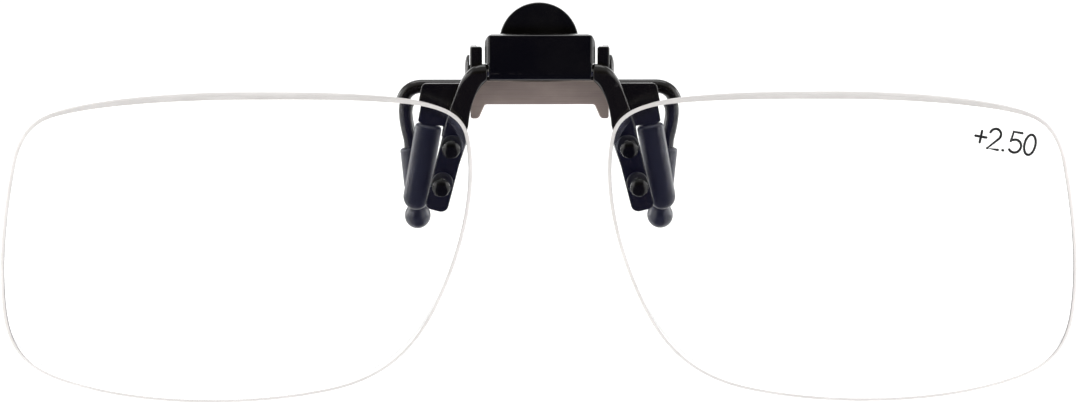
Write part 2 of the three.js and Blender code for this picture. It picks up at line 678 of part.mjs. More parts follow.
// Points up a rear sleeve's axis from the middle of its ball end
const sleeveUp = new THREE.Vector2(Math.sin(REAR_SLEEVE.toe), Math.cos(REAR_SLEEVE.toe));
const sleevePoint = (up) => new THREE.Vector3(BALL.x + sleeveUp.x * up, WIRE_Y, BALL.z + sleeveUp.y * up);

function rearWire() {
  const path = new THREE.CurvePath();
  const bendStart = new THREE.Vector3(13.6, WIRE_Y, WIRE_Z);
  const bendEnd = sleevePoint(REAR_SLEEVE.length + 1.0);
  const shoulder = [
    new THREE.Vector3(15.9, WIRE_Y, WIRE_Z + 0.05), new THREE.Vector3(16.9, WIRE_Y, 7.8),
  ];
  path.add(new THREE.LineCurve3(new THREE.Vector3(0.2, WIRE_Y, WIRE_Z), bendStart));
  path.add(new THREE.CubicBezierCurve3(bendStart, ...shoulder, bendEnd));
  path.add(new THREE.LineCurve3(bendEnd, sleevePoint(0)));
  return bar(path, WIRE_R, 34, 10);
}

// A sleeve with a ball end, turned about the wire's axis
function rearSleeve() {
  const { r, length } = REAR_SLEEVE;
  const bore = WIRE_R + SEAT_GAP;
  const profile = [];
  for (let step = 0; step <= 6; step += 1) {
    const angle = (-90 + step * 22) * DEG;
    profile.push(new THREE.Vector2(BALL.r * Math.cos(angle), BALL.r * Math.sin(angle)));
  }
  profile[0].x = 0;
  for (const [radius, up] of [
    [r - 0.12, 2.0], [r, 4.0], [r, length - 0.3], [r - 0.3, length], [bore, length],
    [bore, -0.4], [0, -0.4],
  ]) {
    profile.push(new THREE.Vector2(radius, up));
  }
  const geometry = new THREE.LatheGeometry(profile, 18);
  geometry.rotateX(Math.PI / 2);
  geometry.rotateY(REAR_SLEEVE.toe);
  geometry.translate(BALL.x, WIRE_Y, BALL.z);
  return toSolid(geometry);
}

// ---------------------------------------------------------------- the whole clip

const clip = new THREE.Group();
clip.add(lensSet());
clip.add(piece("hinge_cover", hingeCover(), BLACK));
clip.add(piece("detent_spring", detentSpring(), STEEL));
clip.add(piece("front_plate", frontPlate(), BLACK));
clip.add(piece("clamp_pin", clampPin(), BLACK));
clip.add(piece("torsion_spring", torsionSpring(), STEEL));
clip.add(piece("bridge_saddle", bridgeSaddle(), BARE));
clip.add(piece("rear_clamp", rearClamp(), BLACK));
for (const [side, direction] of [["left", -1], ["right", 1]]) {
  const half = new THREE.Group();
  half.scale.x = direction;
  half.add(piece(`front_prong_${side}`, frontProng(), BLACK));
  half.add(piece(`front_sleeve_${side}`, frontSleeve(), VINYL));
  half.add(piece(`rear_wire_${side}`, rearWire(), BLACK));
  half.add(piece(`rear_sleeve_${side}`, rearSleeve(), VINYL));
  clip.add(half);
}

export default clip;
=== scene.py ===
import json
import math

import bmesh
import bpy
from mathutils import Matrix, Vector

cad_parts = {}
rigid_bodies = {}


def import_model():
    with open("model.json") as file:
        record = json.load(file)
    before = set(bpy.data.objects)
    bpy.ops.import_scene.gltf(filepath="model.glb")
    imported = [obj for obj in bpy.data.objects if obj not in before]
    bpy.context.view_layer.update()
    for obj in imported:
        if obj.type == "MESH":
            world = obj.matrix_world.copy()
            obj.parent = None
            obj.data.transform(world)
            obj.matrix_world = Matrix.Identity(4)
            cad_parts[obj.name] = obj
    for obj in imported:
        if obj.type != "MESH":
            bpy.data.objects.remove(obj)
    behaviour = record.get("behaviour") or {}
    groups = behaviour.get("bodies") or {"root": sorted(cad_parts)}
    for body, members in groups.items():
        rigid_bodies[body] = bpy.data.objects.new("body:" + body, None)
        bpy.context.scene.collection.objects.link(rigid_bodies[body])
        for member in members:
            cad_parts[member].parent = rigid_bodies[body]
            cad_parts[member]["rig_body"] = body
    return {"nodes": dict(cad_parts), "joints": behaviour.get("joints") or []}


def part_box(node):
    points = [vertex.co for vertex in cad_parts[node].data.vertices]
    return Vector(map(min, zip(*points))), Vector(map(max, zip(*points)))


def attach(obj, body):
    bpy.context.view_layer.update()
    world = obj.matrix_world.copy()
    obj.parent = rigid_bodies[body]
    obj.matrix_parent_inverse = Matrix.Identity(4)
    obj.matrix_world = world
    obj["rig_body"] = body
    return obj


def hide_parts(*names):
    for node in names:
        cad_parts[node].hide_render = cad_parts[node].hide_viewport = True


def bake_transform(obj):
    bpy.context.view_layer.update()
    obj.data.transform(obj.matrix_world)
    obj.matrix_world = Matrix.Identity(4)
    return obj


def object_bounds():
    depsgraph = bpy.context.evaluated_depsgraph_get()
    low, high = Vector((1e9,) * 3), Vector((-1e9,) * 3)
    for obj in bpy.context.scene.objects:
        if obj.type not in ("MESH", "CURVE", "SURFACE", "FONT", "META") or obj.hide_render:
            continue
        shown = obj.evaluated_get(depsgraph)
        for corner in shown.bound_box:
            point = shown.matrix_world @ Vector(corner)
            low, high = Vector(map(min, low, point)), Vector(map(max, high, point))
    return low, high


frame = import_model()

MM = 0.001
CAD_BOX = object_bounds()

LENS_BODY = "lens_set"
FRONT_BODY = "front_clip"
REAR_BODY = "rear_clip"
SIDES = (("left", -1), ("right", 1))
LEVELS = ("upper", "lower")


def joint_place(name):
    """A joint's (y, z), in millimetres."""
    joint = next(joint for joint in frame["joints"] if joint["name"] == name)
    return joint["pos_m"][1] / MM, joint["pos_m"][2] / MM


def box_mm(node):
    """The lowest and highest corner of a CAD node, in millimetres."""
    low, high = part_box(node)
    return low / MM, high / MM


FLIP_Y, FLIP_Z = joint_place("lens_flip")
PIN_Y, PIN_Z = joint_place("clamp_squeeze")

# Fits
SEAT_GAP = 0.08
EDGE = 0.12  # rounding along the edges of the pressed sheet

# Lenses, drawn in x from the plane of symmetry and z from the flip axis
LENS_TILT = math.radians(9)
LENS_FRONT_R = 100.0
LENS_BACK_R = 200.0
LENS_CENTRE = Vector((35.2, -20.35))
LENS_BACK_Y = -3.0
LENS_CENTRE_T = 3.0
LENS_CHAMFER = 0.14  # at the back edge
LENS_BEVEL = (0.40, 0.16)  # width and depth of the ground bevel round the front
LENS_EDGE_LEAN = 0.016  # share by which the back surface is narrower
LENS_SPOKES = 360
LENS_RINGS = 22

# Arms and fasteners
ARM_T = 0.9
ARM_WIDTH = 2.75
ARM_ROOT_R = 0.95
ARM_ROOT_X = 6.1
SCREW_AT = {"upper": Vector((10.32, -8.6)), "lower": Vector((11.48, -13.0))}
ARM_END_Z = -16.4
ARM_END_R = 0.8
SCREW_R = 0.5
HEAD_R = 1.05
HEAD_H = 0.7
HOLE_R = 0.65
WASHER_R = 1.25
NUT_R = 1.25
NUT_T = 0.9

# Hinge cover, axle and leaf spring
COVER_T = 0.45
COVER_CORNER_R = 1.1
COVER_SLOPE = (0.62, 0.95)  # inset of the face and depth of the sloping side walls
BARREL_R = 1.0
BARREL_HALF = 5.95
BORE_R = 0.62
AXLE_R = 0.55
AXLE_SQUARE = (0.39, 2.6)  # half the side and half the length of the waist
LEAF_T = 0.3
LEAF_HALF = 2.3

# Front plate
PLATE_T = 0.8
PLATE_FOOT_Z = 11.0
PLATE_TOP_Z = 15.9
PLATE_MID_HALF = 6.15
PLATE_SHOULDER_Z = 12.4
EAR_X = (6.7, 8.1)
EAR_TOP_Z = 14.9
FLANGE_NOSE_R = 1.4
FLANGE_BEND = 0.24
STOP_LIP_HALF = 3.0
FLANGE_BACK_Y = -1.1
STOP_LIP_BACK_Y = -1.6
SADDLE_LEG_X = 7.1
SADDLE_ARCH_HALF = 6.37
SADDLE_ARCH_Z = 8.1
SADDLE_REBATE = 0.3  # depth, behind the saddle's ends
REBATE_X = 7.2  # where it starts
REBATE_Z = 8.2

# Pin and coil
PIN_R = 0.5
PIN_HEAD_R = 1.7
PIN_HEAD_H = 0.55
COIL_WIRE_R = 0.22
COIL_R = 0.85
COIL_TURNS = 6.15
COIL_PITCH = 0.62

# Prongs, wires and sleeves
PRONG_T = 0.8
PRONG_SPLAY = math.radians(9.8)
SLEEVE_TOP = Vector((13.3, 5.4))
SLEEVE_HALF_WIDTH = 1.55
SLEEVE_HALF_DEPTH = 1.3
SLEEVE_LENGTH = 9.9
TIP_HALF = 0.85
TIP_LENGTH = 8.3
CLAMP_T = 0.7
CLAMP_HALF = 6.05
TAB_R = 4.65
TAB_CENTRE_Z = 15.05
LUG_Z = (11.0, 13.7)
WIRE_R = 0.8
WIRE_Z = 9.76
BALL = Vector((14.8, -5.42))
BALL_R = 1.5
REAR_SLEEVE_R = 1.3
REAR_SLEEVE_LENGTH = 7.8
REAR_TOE = math.radians(5.5)

PLATE_FRONT_Y = box_mm("front_plate")[0].y
PLATE_BACK_Y = PLATE_FRONT_Y + PLATE_T
CLAMP_FRONT_Y = 0.2
CLAMP_BACK_Y = CLAMP_FRONT_Y + CLAMP_T
PRONG_FRONT_Y = box_mm("front_prong_right")[0].y
WIRE_Y = CLAMP_BACK_Y + SEAT_GAP + WIRE_R


# ---- outlines

def rounded(corners, steps=7):
    """A closed outline through corners (u, v, radius), each one turned on an arc."""
    outline = []
    for index, (u, v, radius) in enumerate(corners):
        corner = Vector((u, v))
        if not radius:
            outline.append(corner)
            continue
        back = (Vector(corners[index - 1][:2]) - corner).normalized()
        on = (Vector(corners[(index + 1) % len(corners)][:2]) - corner).normalized()
        half = back.angle(on) / 2
        centre = corner + (back + on).normalized() * radius / math.sin(half)
        start = corner + back * radius / math.tan(half) - centre
        end = corner + on * radius / math.tan(half) - centre
        turn = -start.angle_signed(end)
        for step in range(steps + 1):
            outline.append(centre + Matrix.Rotation(turn * step / steps, 2) @ start)
    return outline


def bezier(points, steps):
    """Points along a cubic curve, without its end."""
    a, b, c, d = (Vector(point) for point in points)
    made = []
    for step in range(steps):
        t = step / steps
        s = 1 - t
        made.append(a * s**3 + b * 3 * s * s * t + c * 3 * s * t * t + d * t**3)
    return made


def along(points, count, closed=False):
    """count points at equal distances along a polyline."""
    line = [Vector(point) for point in points]
    if closed:
        line.append(line[0])
    reach = [0.0]
    for a, b in zip(line, line[1:]):
        reach.append(reach[-1] + (b - a).length)
    made = []
    index = 0
    for step in range(count):
        wanted = reach[-1] * step / (count if closed else count - 1)
        while index < len(line) - 2 and reach[index + 1] < wanted:
            index += 1
        share = (wanted - reach[index]) / max(reach[index + 1] - reach[index], 1e-9)
        made.append(line[index].lerp(line[index + 1], min(share, 1)))
    return made


def outward(outline):
    """The outward direction at each point of a closed outline, scaled so that a shift keeps its width."""
    area = sum(a.cross(b) for a, b in zip(outline, outline[1:] + outline[:1]))
    turn = 1 if area > 0 else -1
    made = []
    for index, here in enumerate(outline):
        before = (here - outline[index - 1]).normalized()
        after = (outline[(index + 1) % len(outline)] - here).normalized()
        first = Vector((before.y, -before.x)) * turn
        second = Vector((after.y, -after.x)) * turn
        middle = (first + second).normalized()
        made.append(middle / max(middle.dot(second), 0.5))
    return made


# ---- meshes, as bmesh in millimetres

def skin(rings):
    """A skin over rings of points, closed at both ends."""
    made = bmesh.new()
    rows = [[made.verts.new(point) for point in ring] for ring in rings]
    for row, next_row in zip(rows, rows[1:]):
        for index in range(len(row)):
            after = (index + 1) % len(row)
            made.faces.new((row[index], row[after], next_row[after], next_row[index]))
    made.faces.new(reversed(rows[0]))
    made.faces.new(rows[-1])
    bmesh.ops.recalc_face_normals(made, faces=made.faces)
    return made


def plate(outline, low, high, edge=EDGE, far_edge=None, axis="Y", steps=3):
    """A sheet with rounded edges. Its outline is in (x, z) with axis Y, or in (y, z) with axis X."""
    far_edge = edge if far_edge is None else far_edge
    out = outward(outline)
    levels = []
    for step in range(steps + 1):
        angle = step / steps * math.pi / 2
        levels.append((edge * (1 - math.sin(angle)), low + edge * (1 - math.cos(angle))))
    for step in range(steps, -1, -1):
        angle = step / steps * math.pi / 2
        levels.append((far_edge * (1 - math.sin(angle)), high - far_edge * (1 - math.cos(angle))))
    rings = []
    for inset, level in levels:
        moved = [point - away * inset for point, away in zip(outline, out)]
        if axis == "Y":
            rings.append([(point.x, level, point.y) for point in moved])
        else:
            rings.append([(level, point.x, point.y) for point in moved])
    return skin(rings)


def block(low, high):
    """A plain block between two corners, for cutting."""
    size = Vector(high) - Vector(low)
    made = bmesh.new()
    bmesh.ops.create_cube(made, size=1)
    middle = (Vector(high) + Vector(low)) / 2
    made.transform(Matrix.Translation(middle) @ Matrix.Diagonal((*size, 1)))
    return made


def lathe(profile, place, sides=48):
    """A profile of (radius, height) turned about Z, then placed. Its ends lie on the axis or are closed."""
    rings = []
    for radius, height in profile:
        ring = []
        for side in range(sides):
            angle = 2 * math.pi * side / sides
            ring.append((radius * math.cos(angle), radius * math.sin(angle), height))
        rings.append(ring)
    made = skin(rings)
    made.transform(place)
    return made


def arc(centre, radius, start, end, steps):
    """Points (r, h) on an arc about centre, with angles in degrees from the r axis."""
    made = []
    for step in range(steps + 1):
        angle = math.radians(start + (end - start) * step / steps)
        made.append((centre[0] + radius * math.cos(angle), centre[1] + radius * math.sin(angle)))
    return made


ALONG_X = Matrix.Rotation(math.pi / 2, 4, "Y")
TO_FRONT = Matrix.Rotation(math.pi / 2, 4, "X")


def rod_x(radius, x0, x1, y, z, edge=0.05, sides=48):
    """A rod along X with slightly rounded ends."""
    profile = [(radius - edge, x0), *arc((radius - edge, x0 + edge), edge, -45, 0, 2)]
    profile += [*arc((radius - edge, x1 - edge), edge, 0, 45, 2), (radius - edge, x1)]
    return lathe(profile, Matrix.Translation((0, y, z)) @ ALONG_X, sides)


def sweep(path, section):
    """A bar along a path in space. section(share) gives its outline (across, up) at a share of the way."""
    forward = (path[1] - path[0]).normalized()
    across = forward.orthogonal().normalized()
    rings = []
    for index, here in enumerate(path):
        before = path[max(index - 1, 0)]
        after = path[min(index + 1, len(path) - 1)]
        direction = (after - before).normalized()
        across = forward.rotation_difference(direction) @ across
        forward = direction
        up = forward.cross(across)
        share = index / (len(path) - 1)
        rings.append([here + across * u + up * v for u, v in section(share)])
    return skin(rings)


def round_bar(path, radius, sides):
    """A round bar along a path, with rounded ends."""
    length = sum((b - a).length for a, b in zip(path, path[1:]))

    def section(share):
        end = min(share, 1 - share) * length
        reach = min(end / radius, 1)
        now = radius * math.sqrt(max(1 - (1 - reach) ** 2, 0.01))
        turn = 2 * math.pi / sides
        return [(now * math.cos(side * turn), now * math.sin(side * turn)) for side in range(sides)]

    return sweep(path, section)


def mesh_of(made):
    """A Blender mesh from a bmesh."""
    mesh = bpy.data.meshes.new("part")
    made.to_mesh(mesh)
    made.free()
    return mesh


def joined(base, others, operation):
    """base united with the others, or with them taken away or kept in common."""
    target = bpy.data.objects.new("base", mesh_of(base))
    bpy.context.scene.collection.objects.link(target)
    tools = []
    for other in others:
        tool = bpy.data.objects.new("tool", mesh_of(other))
        bpy.context.scene.collection.objects.link(tool)
        tools.append(tool)
        step = target.modifiers.new("join", "BOOLEAN")
        step.operation = operation
        step.solver = "EXACT"
        step.object = tool
    scene_graph = bpy.context.evaluated_depsgraph_get()
    result = bmesh.new()
    result.from_object(target, scene_graph)
    for done in [target, *tools]:
        old = done.data
        bpy.data.objects.remove(done)
        bpy.data.meshes.remove(old)
    bmesh.ops.remove_doubles(result, verts=result.verts, dist=1e-4)
    return result


def united(base, *others):
    return joined(base, others, "UNION")


def cut(base, *tools):
    return joined(base, tools, "DIFFERENCE")


def copy_of(made, matrix=None):
    """A copy of a bmesh, moved by a matrix if one is given. A mirrored copy keeps its outside out."""
    other = made.copy()
    if matrix is not None:
        other.transform(matrix)
        if matrix.determinant() < 0:
            bmesh.ops.reverse_faces(other, faces=other.faces)
    return other


def piece(node, made, body, material, slot, sharp=45, weighted=True):
    """Turns a bmesh in millimetres into the shown piece that stands for a CAD node."""
    made.transform(Matrix.Diagonal((MM, MM, MM, 1)))
    mesh = mesh_of(made)
    mesh.name = f"fine_{node}"
    mesh.shade_smooth()
    mesh.set_sharp_from_angle(angle=math.radians(sharp))
    shown = bpy.data.objects.new(f"fine_{node}", mesh)
    bpy.context.scene.collection.objects.link(shown)
    materials = material if isinstance(material, (list, tuple)) else [material]
    for each in materials:
        mesh.materials.append(each)
    mesh.validate()
    if weighted:
        even = shown.modifiers.new("even_normals", "WEIGHTED_NORMAL")
        even.keep_sharp = True
    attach(shown, body)
    if node in frame["nodes"]:
        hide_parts(node)
    return shown


# ---- materials

class Painter:
    """A new material with its Principled shader, and short ways to add nodes that feed it."""

    def __init__(self, name):
        self.material = bpy.data.materials.new(name)
        self.material.use_nodes = True
        self.tree = self.material.node_tree
        self.shader = self.tree.nodes["Principled BSDF"]
        self.place = self.add("ShaderNodeTexCoord").outputs["Object"]

    def add(self, kind, **settings):
        node = self.tree.nodes.new(kind)
        for name, value in settings.items():
            setattr(node, name, value)
        return node

    def link(self, source, target):
        self.tree.links.new(source, target)

    def plain(self, **values):
        """Uniform values on the shader's own sockets, by name with _ for a space."""
        for name, value in values.items():
            self.shader.inputs[name.replace("_", " ")].default_value = value

    def stretched(self, x, y, z):
        """Object coordinates in features per millimetre along each axis."""
        mapping = self.add("ShaderNodeMapping")
        mapping.inputs["Scale"].default_value = (x / MM, y / MM, z / MM)
        self.link(self.place, mapping.inputs["Vector"])
        return mapping.outputs["Vector"]

    def noise(self, per_mm, detail=3.0, rough=0.55, stretch=(1, 1, 1), seed=0.0):
        node = self.add("ShaderNodeTexNoise", noise_dimensions="4D")
        self.link(self.stretched(*(per_mm * share for share in stretch)), node.inputs["Vector"])
        node.inputs["W"].default_value = seed
        node.inputs["Scale"].default_value = 1.0
        node.inputs["Detail"].default_value = detail
        node.inputs["Roughness"].default_value = rough
        return node.outputs["Fac"]

    def spread(self, source, low, high, to_low, to_high):
        """source from low..high mapped smoothly onto to_low..to_high."""
        node = self.add("ShaderNodeMapRange", interpolation_type="SMOOTHSTEP")
        self.link(source, node.inputs["Value"])
        for name, value in zip(("From Min", "From Max", "To Min", "To Max"), (low, high, to_low, to_high)):
            node.inputs[name].default_value = value
        return node.outputs["Result"]

    def maths(self, operation, a, b):
        node = self.add("ShaderNodeMath", operation=operation)
        for socket, value in zip(node.inputs, (a, b)):
            if isinstance(value, (int, float)):
                socket.default_value = value
            else:
                self.link(value, socket)
        return node.outputs["Value"]

    def mixed(self, factor, a, b):
        """Colour a turning into colour b. Each is three numbers or a socket."""
        node = self.add("ShaderNodeMix", data_type="RGBA")
        self.link(factor, node.inputs["Factor"])
        for socket, value in ((node.inputs[6], a), (node.inputs[7], b)):
            if isinstance(value, tuple):
                socket.default_value = (*value, 1)
            else:
                self.link(value, socket)
        return node.outputs[2]

    def clouded(self, source, low, high, deep, pale):
        """Two colours, mixed by a noise between two of its levels."""
        return self.mixed(self.spread(source, low, high, 0, 1), deep, pale)

    def worn_edge(self, low, high):
        """1 along convex edges, broken up by noise, and 0 elsewhere."""
        edge = self.spread(self.add("ShaderNodeNewGeometry").outputs["Pointiness"], low, high, 0, 1)
        patches = self.spread(self.noise(1.1, seed=7.0), 0.48, 0.66, 0, 1)
        return self.maths("MULTIPLY", edge, patches)

    def bump(self, height, strength, depth_mm, under=None):
        node = self.add("ShaderNodeBump")
        node.inputs["Strength"].default_value = strength
        node.inputs["Distance"].default_value = depth_mm * MM
        self.link(height, node.inputs["Height"])
        if under is not None:
            self.link(under, node.inputs["Normal"])
        return node.outputs["Normal"]

    def finish(self, colour=None, roughness=None, normal=None):
        for name, source in (("Base Color", colour), ("Roughness", roughness), ("Normal", normal)):
            if source is not None:
                self.link(source, self.shader.inputs[name])
        return self.material


def black_metal(name, seed, deep=(0.0036, 0.0026, 0.0020), pale=(0.0062, 0.0048, 0.0038)):
    """Satin black paint on pressed steel: faint orange peel, rubbed patches, brighter worn edges."""
    paint = Painter(name)
    rubbed = paint.noise(0.22, detail=4, seed=seed)
    peel = paint.noise(2.6, detail=2, seed=seed + 1)
    hairs = paint.noise(1.0, detail=2, stretch=(0.25, 1.2, 5.5), seed=seed + 2)
    colour = paint.clouded(rubbed, 0.35, 0.7, deep, pale)
    colour = paint.mixed(paint.worn_edge(0.53, 0.60), colour, (0.018, 0.016, 0.016))
    gloss = paint.spread(rubbed, 0.3, 0.7, 0.15, 0.23)
    gloss = paint.maths("ADD", gloss, paint.spread(hairs, 0.45, 0.75, 0.0, 0.03))
    paint.plain(Specular_IOR_Level=0.42)
    normal = paint.bump(hairs, 0.05, 0.002, paint.bump(peel, 0.14, 0.006))
    return paint.finish(colour, gloss, normal)


def sleeve_vinyl():
    """Soft dipped vinyl, very dark navy, with a silky skin and slight ripples from dipping."""
    skin_paint = Painter("sleeve_vinyl")
    ripple = skin_paint.noise(0.45, detail=2, stretch=(1, 1, 0.5), seed=21)
    grain = skin_paint.noise(7.0, detail=2, seed=22)
    colour = skin_paint.clouded(ripple, 0.35, 0.7, (0.0050, 0.0055, 0.0150),
                              (0.0086, 0.0096, 0.0225))
    gloss = skin_paint.spread(skin_paint.noise(0.3, seed=23), 0.3, 0.7, 0.34, 0.46)
    normal = skin_paint.bump(grain, 0.12, 0.006, skin_paint.bump(ripple, 0.35, 0.06))
    skin_paint.plain(Coat_Weight=0.15, Coat_Roughness=0.3)
    return skin_paint.finish(colour, gloss, normal)


def bare_metal():
    """Satin rose-grey saddle with a fine brushed grain along X."""
    metal = Painter("bare_metal")
    grain = metal.noise(1.0, detail=4, stretch=(0.12, 2.0, 9.0), seed=31)
    cloud = metal.noise(0.35, detail=3, stretch=(0.5, 1, 1), seed=32)
    colour = metal.clouded(cloud, 0.35, 0.68, (0.365, 0.292, 0.262), (0.445, 0.360, 0.318))
    colour = metal.mixed(metal.spread(grain, 0.45, 0.75, 0, 0.35), colour, (0.290, 0.240, 0.226))
    gloss = metal.spread(grain, 0.3, 0.7, 0.42, 0.60)
    metal.plain(Metallic=0.55)
    return metal.finish(colour, gloss, metal.bump(grain, 0.25, 0.010))


def spring_steel():
    """Drawn steel: bright, with faint lines along the wire and a straw tint in places."""
    metal = Painter("spring_steel")
    lines = metal.noise(6.0, detail=3, stretch=(0.6, 1, 1), seed=41)
    cloud = metal.noise(0.5, detail=3, seed=42)
    colour = metal.clouded(cloud, 0.4, 0.7, (0.50, 0.50, 0.49), (0.44, 0.40, 0.34))
    gloss = metal.spread(lines, 0.3, 0.7, 0.20, 0.36)
    metal.plain(Metallic=1.0)
    return metal.finish(colour, gloss, metal.bump(lines, 0.15, 0.006))


def nylon():
    """Black nylon washers, matte and a little cloudy."""
    black = Painter("nylon")
    cloud = black.noise(0.9, detail=2, seed=51)
    colour = black.clouded(cloud, 0.35, 0.7, (0.0035, 0.0035, 0.0040),
                         (0.0075, 0.0075, 0.0080))
    gloss = black.spread(cloud, 0.3, 0.7, 0.45, 0.6)
    return black.finish(colour, gloss, black.bump(black.noise(5.0, seed=52), 0.1, 0.008))


def lens_resin():
    """Clear coated resin. The coating's reflection is blue."""
    resin = Painter("lens_resin")
    smear = resin.noise(0.08, detail=4, seed=61)
    wave = resin.noise(0.03, detail=1, seed=62)
    resin.plain(Base_Color=(0.992, 0.996, 1.0, 1), IOR=1.5, Transmission_Weight=1.0,
                Specular_IOR_Level=1.0, Specular_Tint=(0.72, 0.74, 1.0, 1))
    gloss = resin.spread(smear, 0.45, 0.8, 0.0, 0.008)
    return resin.finish(None, gloss, resin.bump(wave, 0.05, 0.02))


def ground_edge(name, seed, deep, pale):
    """The ground rim of a lens: frosted, with fine marks of the wheel round it."""
    ground = Painter(name)
    marks = ground.noise(1.0, detail=3, stretch=(1.5, 9.0, 1.5), seed=seed)
    cloud = ground.noise(0.25, detail=3, seed=seed + 1)
    colour = ground.clouded(cloud, 0.35, 0.7, deep, pale)
    gloss = ground.spread(marks, 0.3, 0.7, 0.40, 0.58)
    ground.plain(IOR=1.5)
    return ground.finish(colour, gloss, ground.bump(marks, 0.2, 0.008))


def mark_ink():
    """Black printing ink, slightly uneven."""
    ink = Painter("mark_ink")
    cover = ink.noise(2.2, detail=3, seed=81)
    colour = ink.clouded(cover, 0.4, 0.7, (0.0045, 0.0045, 0.0050), (0.016, 0.016, 0.017))
    return ink.finish(colour, ink.spread(cover, 0.3, 0.7, 0.38, 0.6), ink.bump(cover, 0.2, 0.004))


BLACK = black_metal("black_metal", 1.0)
# A darker copy of the same black paint, for the cover and the screw heads: its extra darkness is painted
# shade.
BLACK_SHADED = black_metal("black_metal_shaded", 9.0, (0.0008, 0.0007, 0.0008), (0.0022, 0.0018, 0.0019))
BLACK_TAB = black_metal("black_metal_tab", 4.0, (0.0026, 0.0024, 0.0020), (0.0070, 0.0064, 0.0058))
VINYL = sleeve_vinyl()
BARE = bare_metal()
STEEL = spring_steel()
NYLON = nylon()
RESIN = lens_resin()
RIM = ground_edge("lens_rim", 71, (0.55, 0.527, 0.513), (0.61, 0.587, 0.573))
BEVEL = ground_edge("lens_bevel", 75, (0.63, 0.605, 0.59), (0.69, 0.665, 0.65))
INK = mark_ink()

# From the lens set's own axes, with the flip axis at the origin, to the frame
LENS_PLACE = Matrix.Translation((0, FLIP_Y, FLIP_Z)) @ Matrix.Rotation(LENS_TILT, 4, "X")
MIRROR = Matrix.Diagonal((-1, 1, 1, 1))


def both_sides(name, made, body, material, slot, place=Matrix.Identity(4), **options):
    """The right piece as made, and its mirror image on the left."""
    for side, direction in SIDES:
        matrix = place @ MIRROR if direction < 0 else place
        piece(name.format(side=side), copy_of(made, matrix), body, material, slot, **options)
    made.free()


# ---- lenses

def lens_outline():
    """The lens outline, in (x, z)."""
    runs = [
        ((34, -1.8), (28, -1.8), (22, -1.9), (16.2, -2.65)),  # top, towards the nose
        ((16.2, -2.65), (11.4, -3.28), (8.85, -4.6), (8.25, -7.4)),
        ((8.25, -7.4), (6.9, -14.1), (9.4, -22.2), (12.2, -27.85)),  # nose side
        ((12.2, -27.85), (15.03, -33.5), (18.8, -36.5), (25.45, -37.6)),
        ((25.45, -37.6), (34, -39.15), (46.4, -39.3), (54.85, -36.95)),  # bottom
        ((54.85, -36.95), (59.95, -35.6), (62.28, -33.5), (62.72, -28.2)),
        ((62.72, -28.2), (63.2, -22.85), (62.44, -16.25), (61.13, -10.15)),  # temple side
        ((61.13, -10.15), (60.45, -7.4), (59.2, -5.25), (56.35, -4.3)),
        ((56.35, -4.3), (51.9, -2.78), (43, -1.8), (34, -1.8)),  # top, towards the temple
    ]
    dense = []
    for run in runs:
        dense += bezier(run, 60)
    return along(dense, LENS_SPOKES, closed=True)


def lens_surface(point, front):
    """Depth of a lens surface under a point (x, z)."""
    distance = (point - LENS_CENTRE).length
    radius = LENS_FRONT_R if front else LENS_BACK_R
    sag = radius - math.sqrt(radius * radius - distance * distance)
    return LENS_BACK_Y - (LENS_CENTRE_T if front else 0) + sag


def lens_mesh():
    """Two spherical surfaces on a web of rings, a ground band at the rim, and two screw holes."""
    rim = lens_outline()
    out = outward(rim)
    width, depth = LENS_BEVEL

    def inside(amount):
        return [point - away * amount for point, away in zip(rim, out)]

    def on_lens(point, front, shift=0.0):
        if not front:
            point = Vector((point.x + (LENS_CENTRE.x - point.x) * LENS_EDGE_LEAN, point.y))
        return (point.x, lens_surface(point, front) + shift, point.y)

    def web(front):
        edge = inside(width if front else LENS_CHAMFER)
        rings = []
        for ring in range(1, LENS_RINGS + 1):
            share = (ring / LENS_RINGS) ** 0.85
            rings.append([on_lens(LENS_CENTRE.lerp(point, share), front) for point in edge])
        return rings

    front_web = web(True)
    back_web = web(False)
    band = []
    for inset, shift, front in ((width * 0.5, depth * 0.42, True), (0.03, depth * 0.95, True),
                                (0, depth + 0.04, True), (0, -LENS_CHAMFER, False),
                                (LENS_CHAMFER * 0.3, -LENS_CHAMFER * 0.3, False)):
        band.append([on_lens(point, front, shift) for point in inside(inset)])
    made = skin([*front_web, *band, *reversed(back_web)])
    made.faces.ensure_lookup_table()
    first = (LENS_RINGS - 1) * LENS_SPOKES
    for strip in range(len(band) + 1):
        for face in made.faces[first + strip * LENS_SPOKES:first + (strip + 1) * LENS_SPOKES]:
            face.material_index = 2 if strip < 2 else 1
    holes = []
    for at in SCREW_AT.values():
        profile = [(HOLE_R, 0), (HOLE_R, 12)]
        holes.append(lathe(profile, Matrix.Translation((at.x, 4, at.y)) @ TO_FRONT, 40))
    return cut(made, *holes)


def make_lenses():
    both_sides("lens_{side}", lens_mesh(), LENS_BODY, (RESIN, RIM, BEVEL), "lens_resin", LENS_PLACE,
               sharp=32, weighted=False)


# ---- lens arms

ARM_SLOPE = (SCREW_AT["lower"].x - SCREW_AT["upper"].x) / (SCREW_AT["lower"].y - SCREW_AT["upper"].y)


def arm_middle(z):
    """x of the arm's straight middle line."""
    return SCREW_AT["upper"].x + (z - SCREW_AT["upper"].y) * ARM_SLOPE


def eased(value, low, high):
    """0 below low, 1 above high, and a smooth step between."""
    share = min(max((value - low) / (high - low), 0), 1)
    return share * share * (3 - 2 * share)


def oval(half_width, half_depth, power, sides=40):
    """A rounded section between an ellipse, with power 2, and a rectangle, with a high power."""
    points = []
    for side in range(sides):
        angle = 2 * math.pi * side / sides
        c, s = math.cos(angle), math.sin(angle)
        points.append((math.copysign(abs(c) ** (2 / power), c) * half_width,
                       math.copysign(abs(s) ** (2 / power), s) * half_depth))
    return points


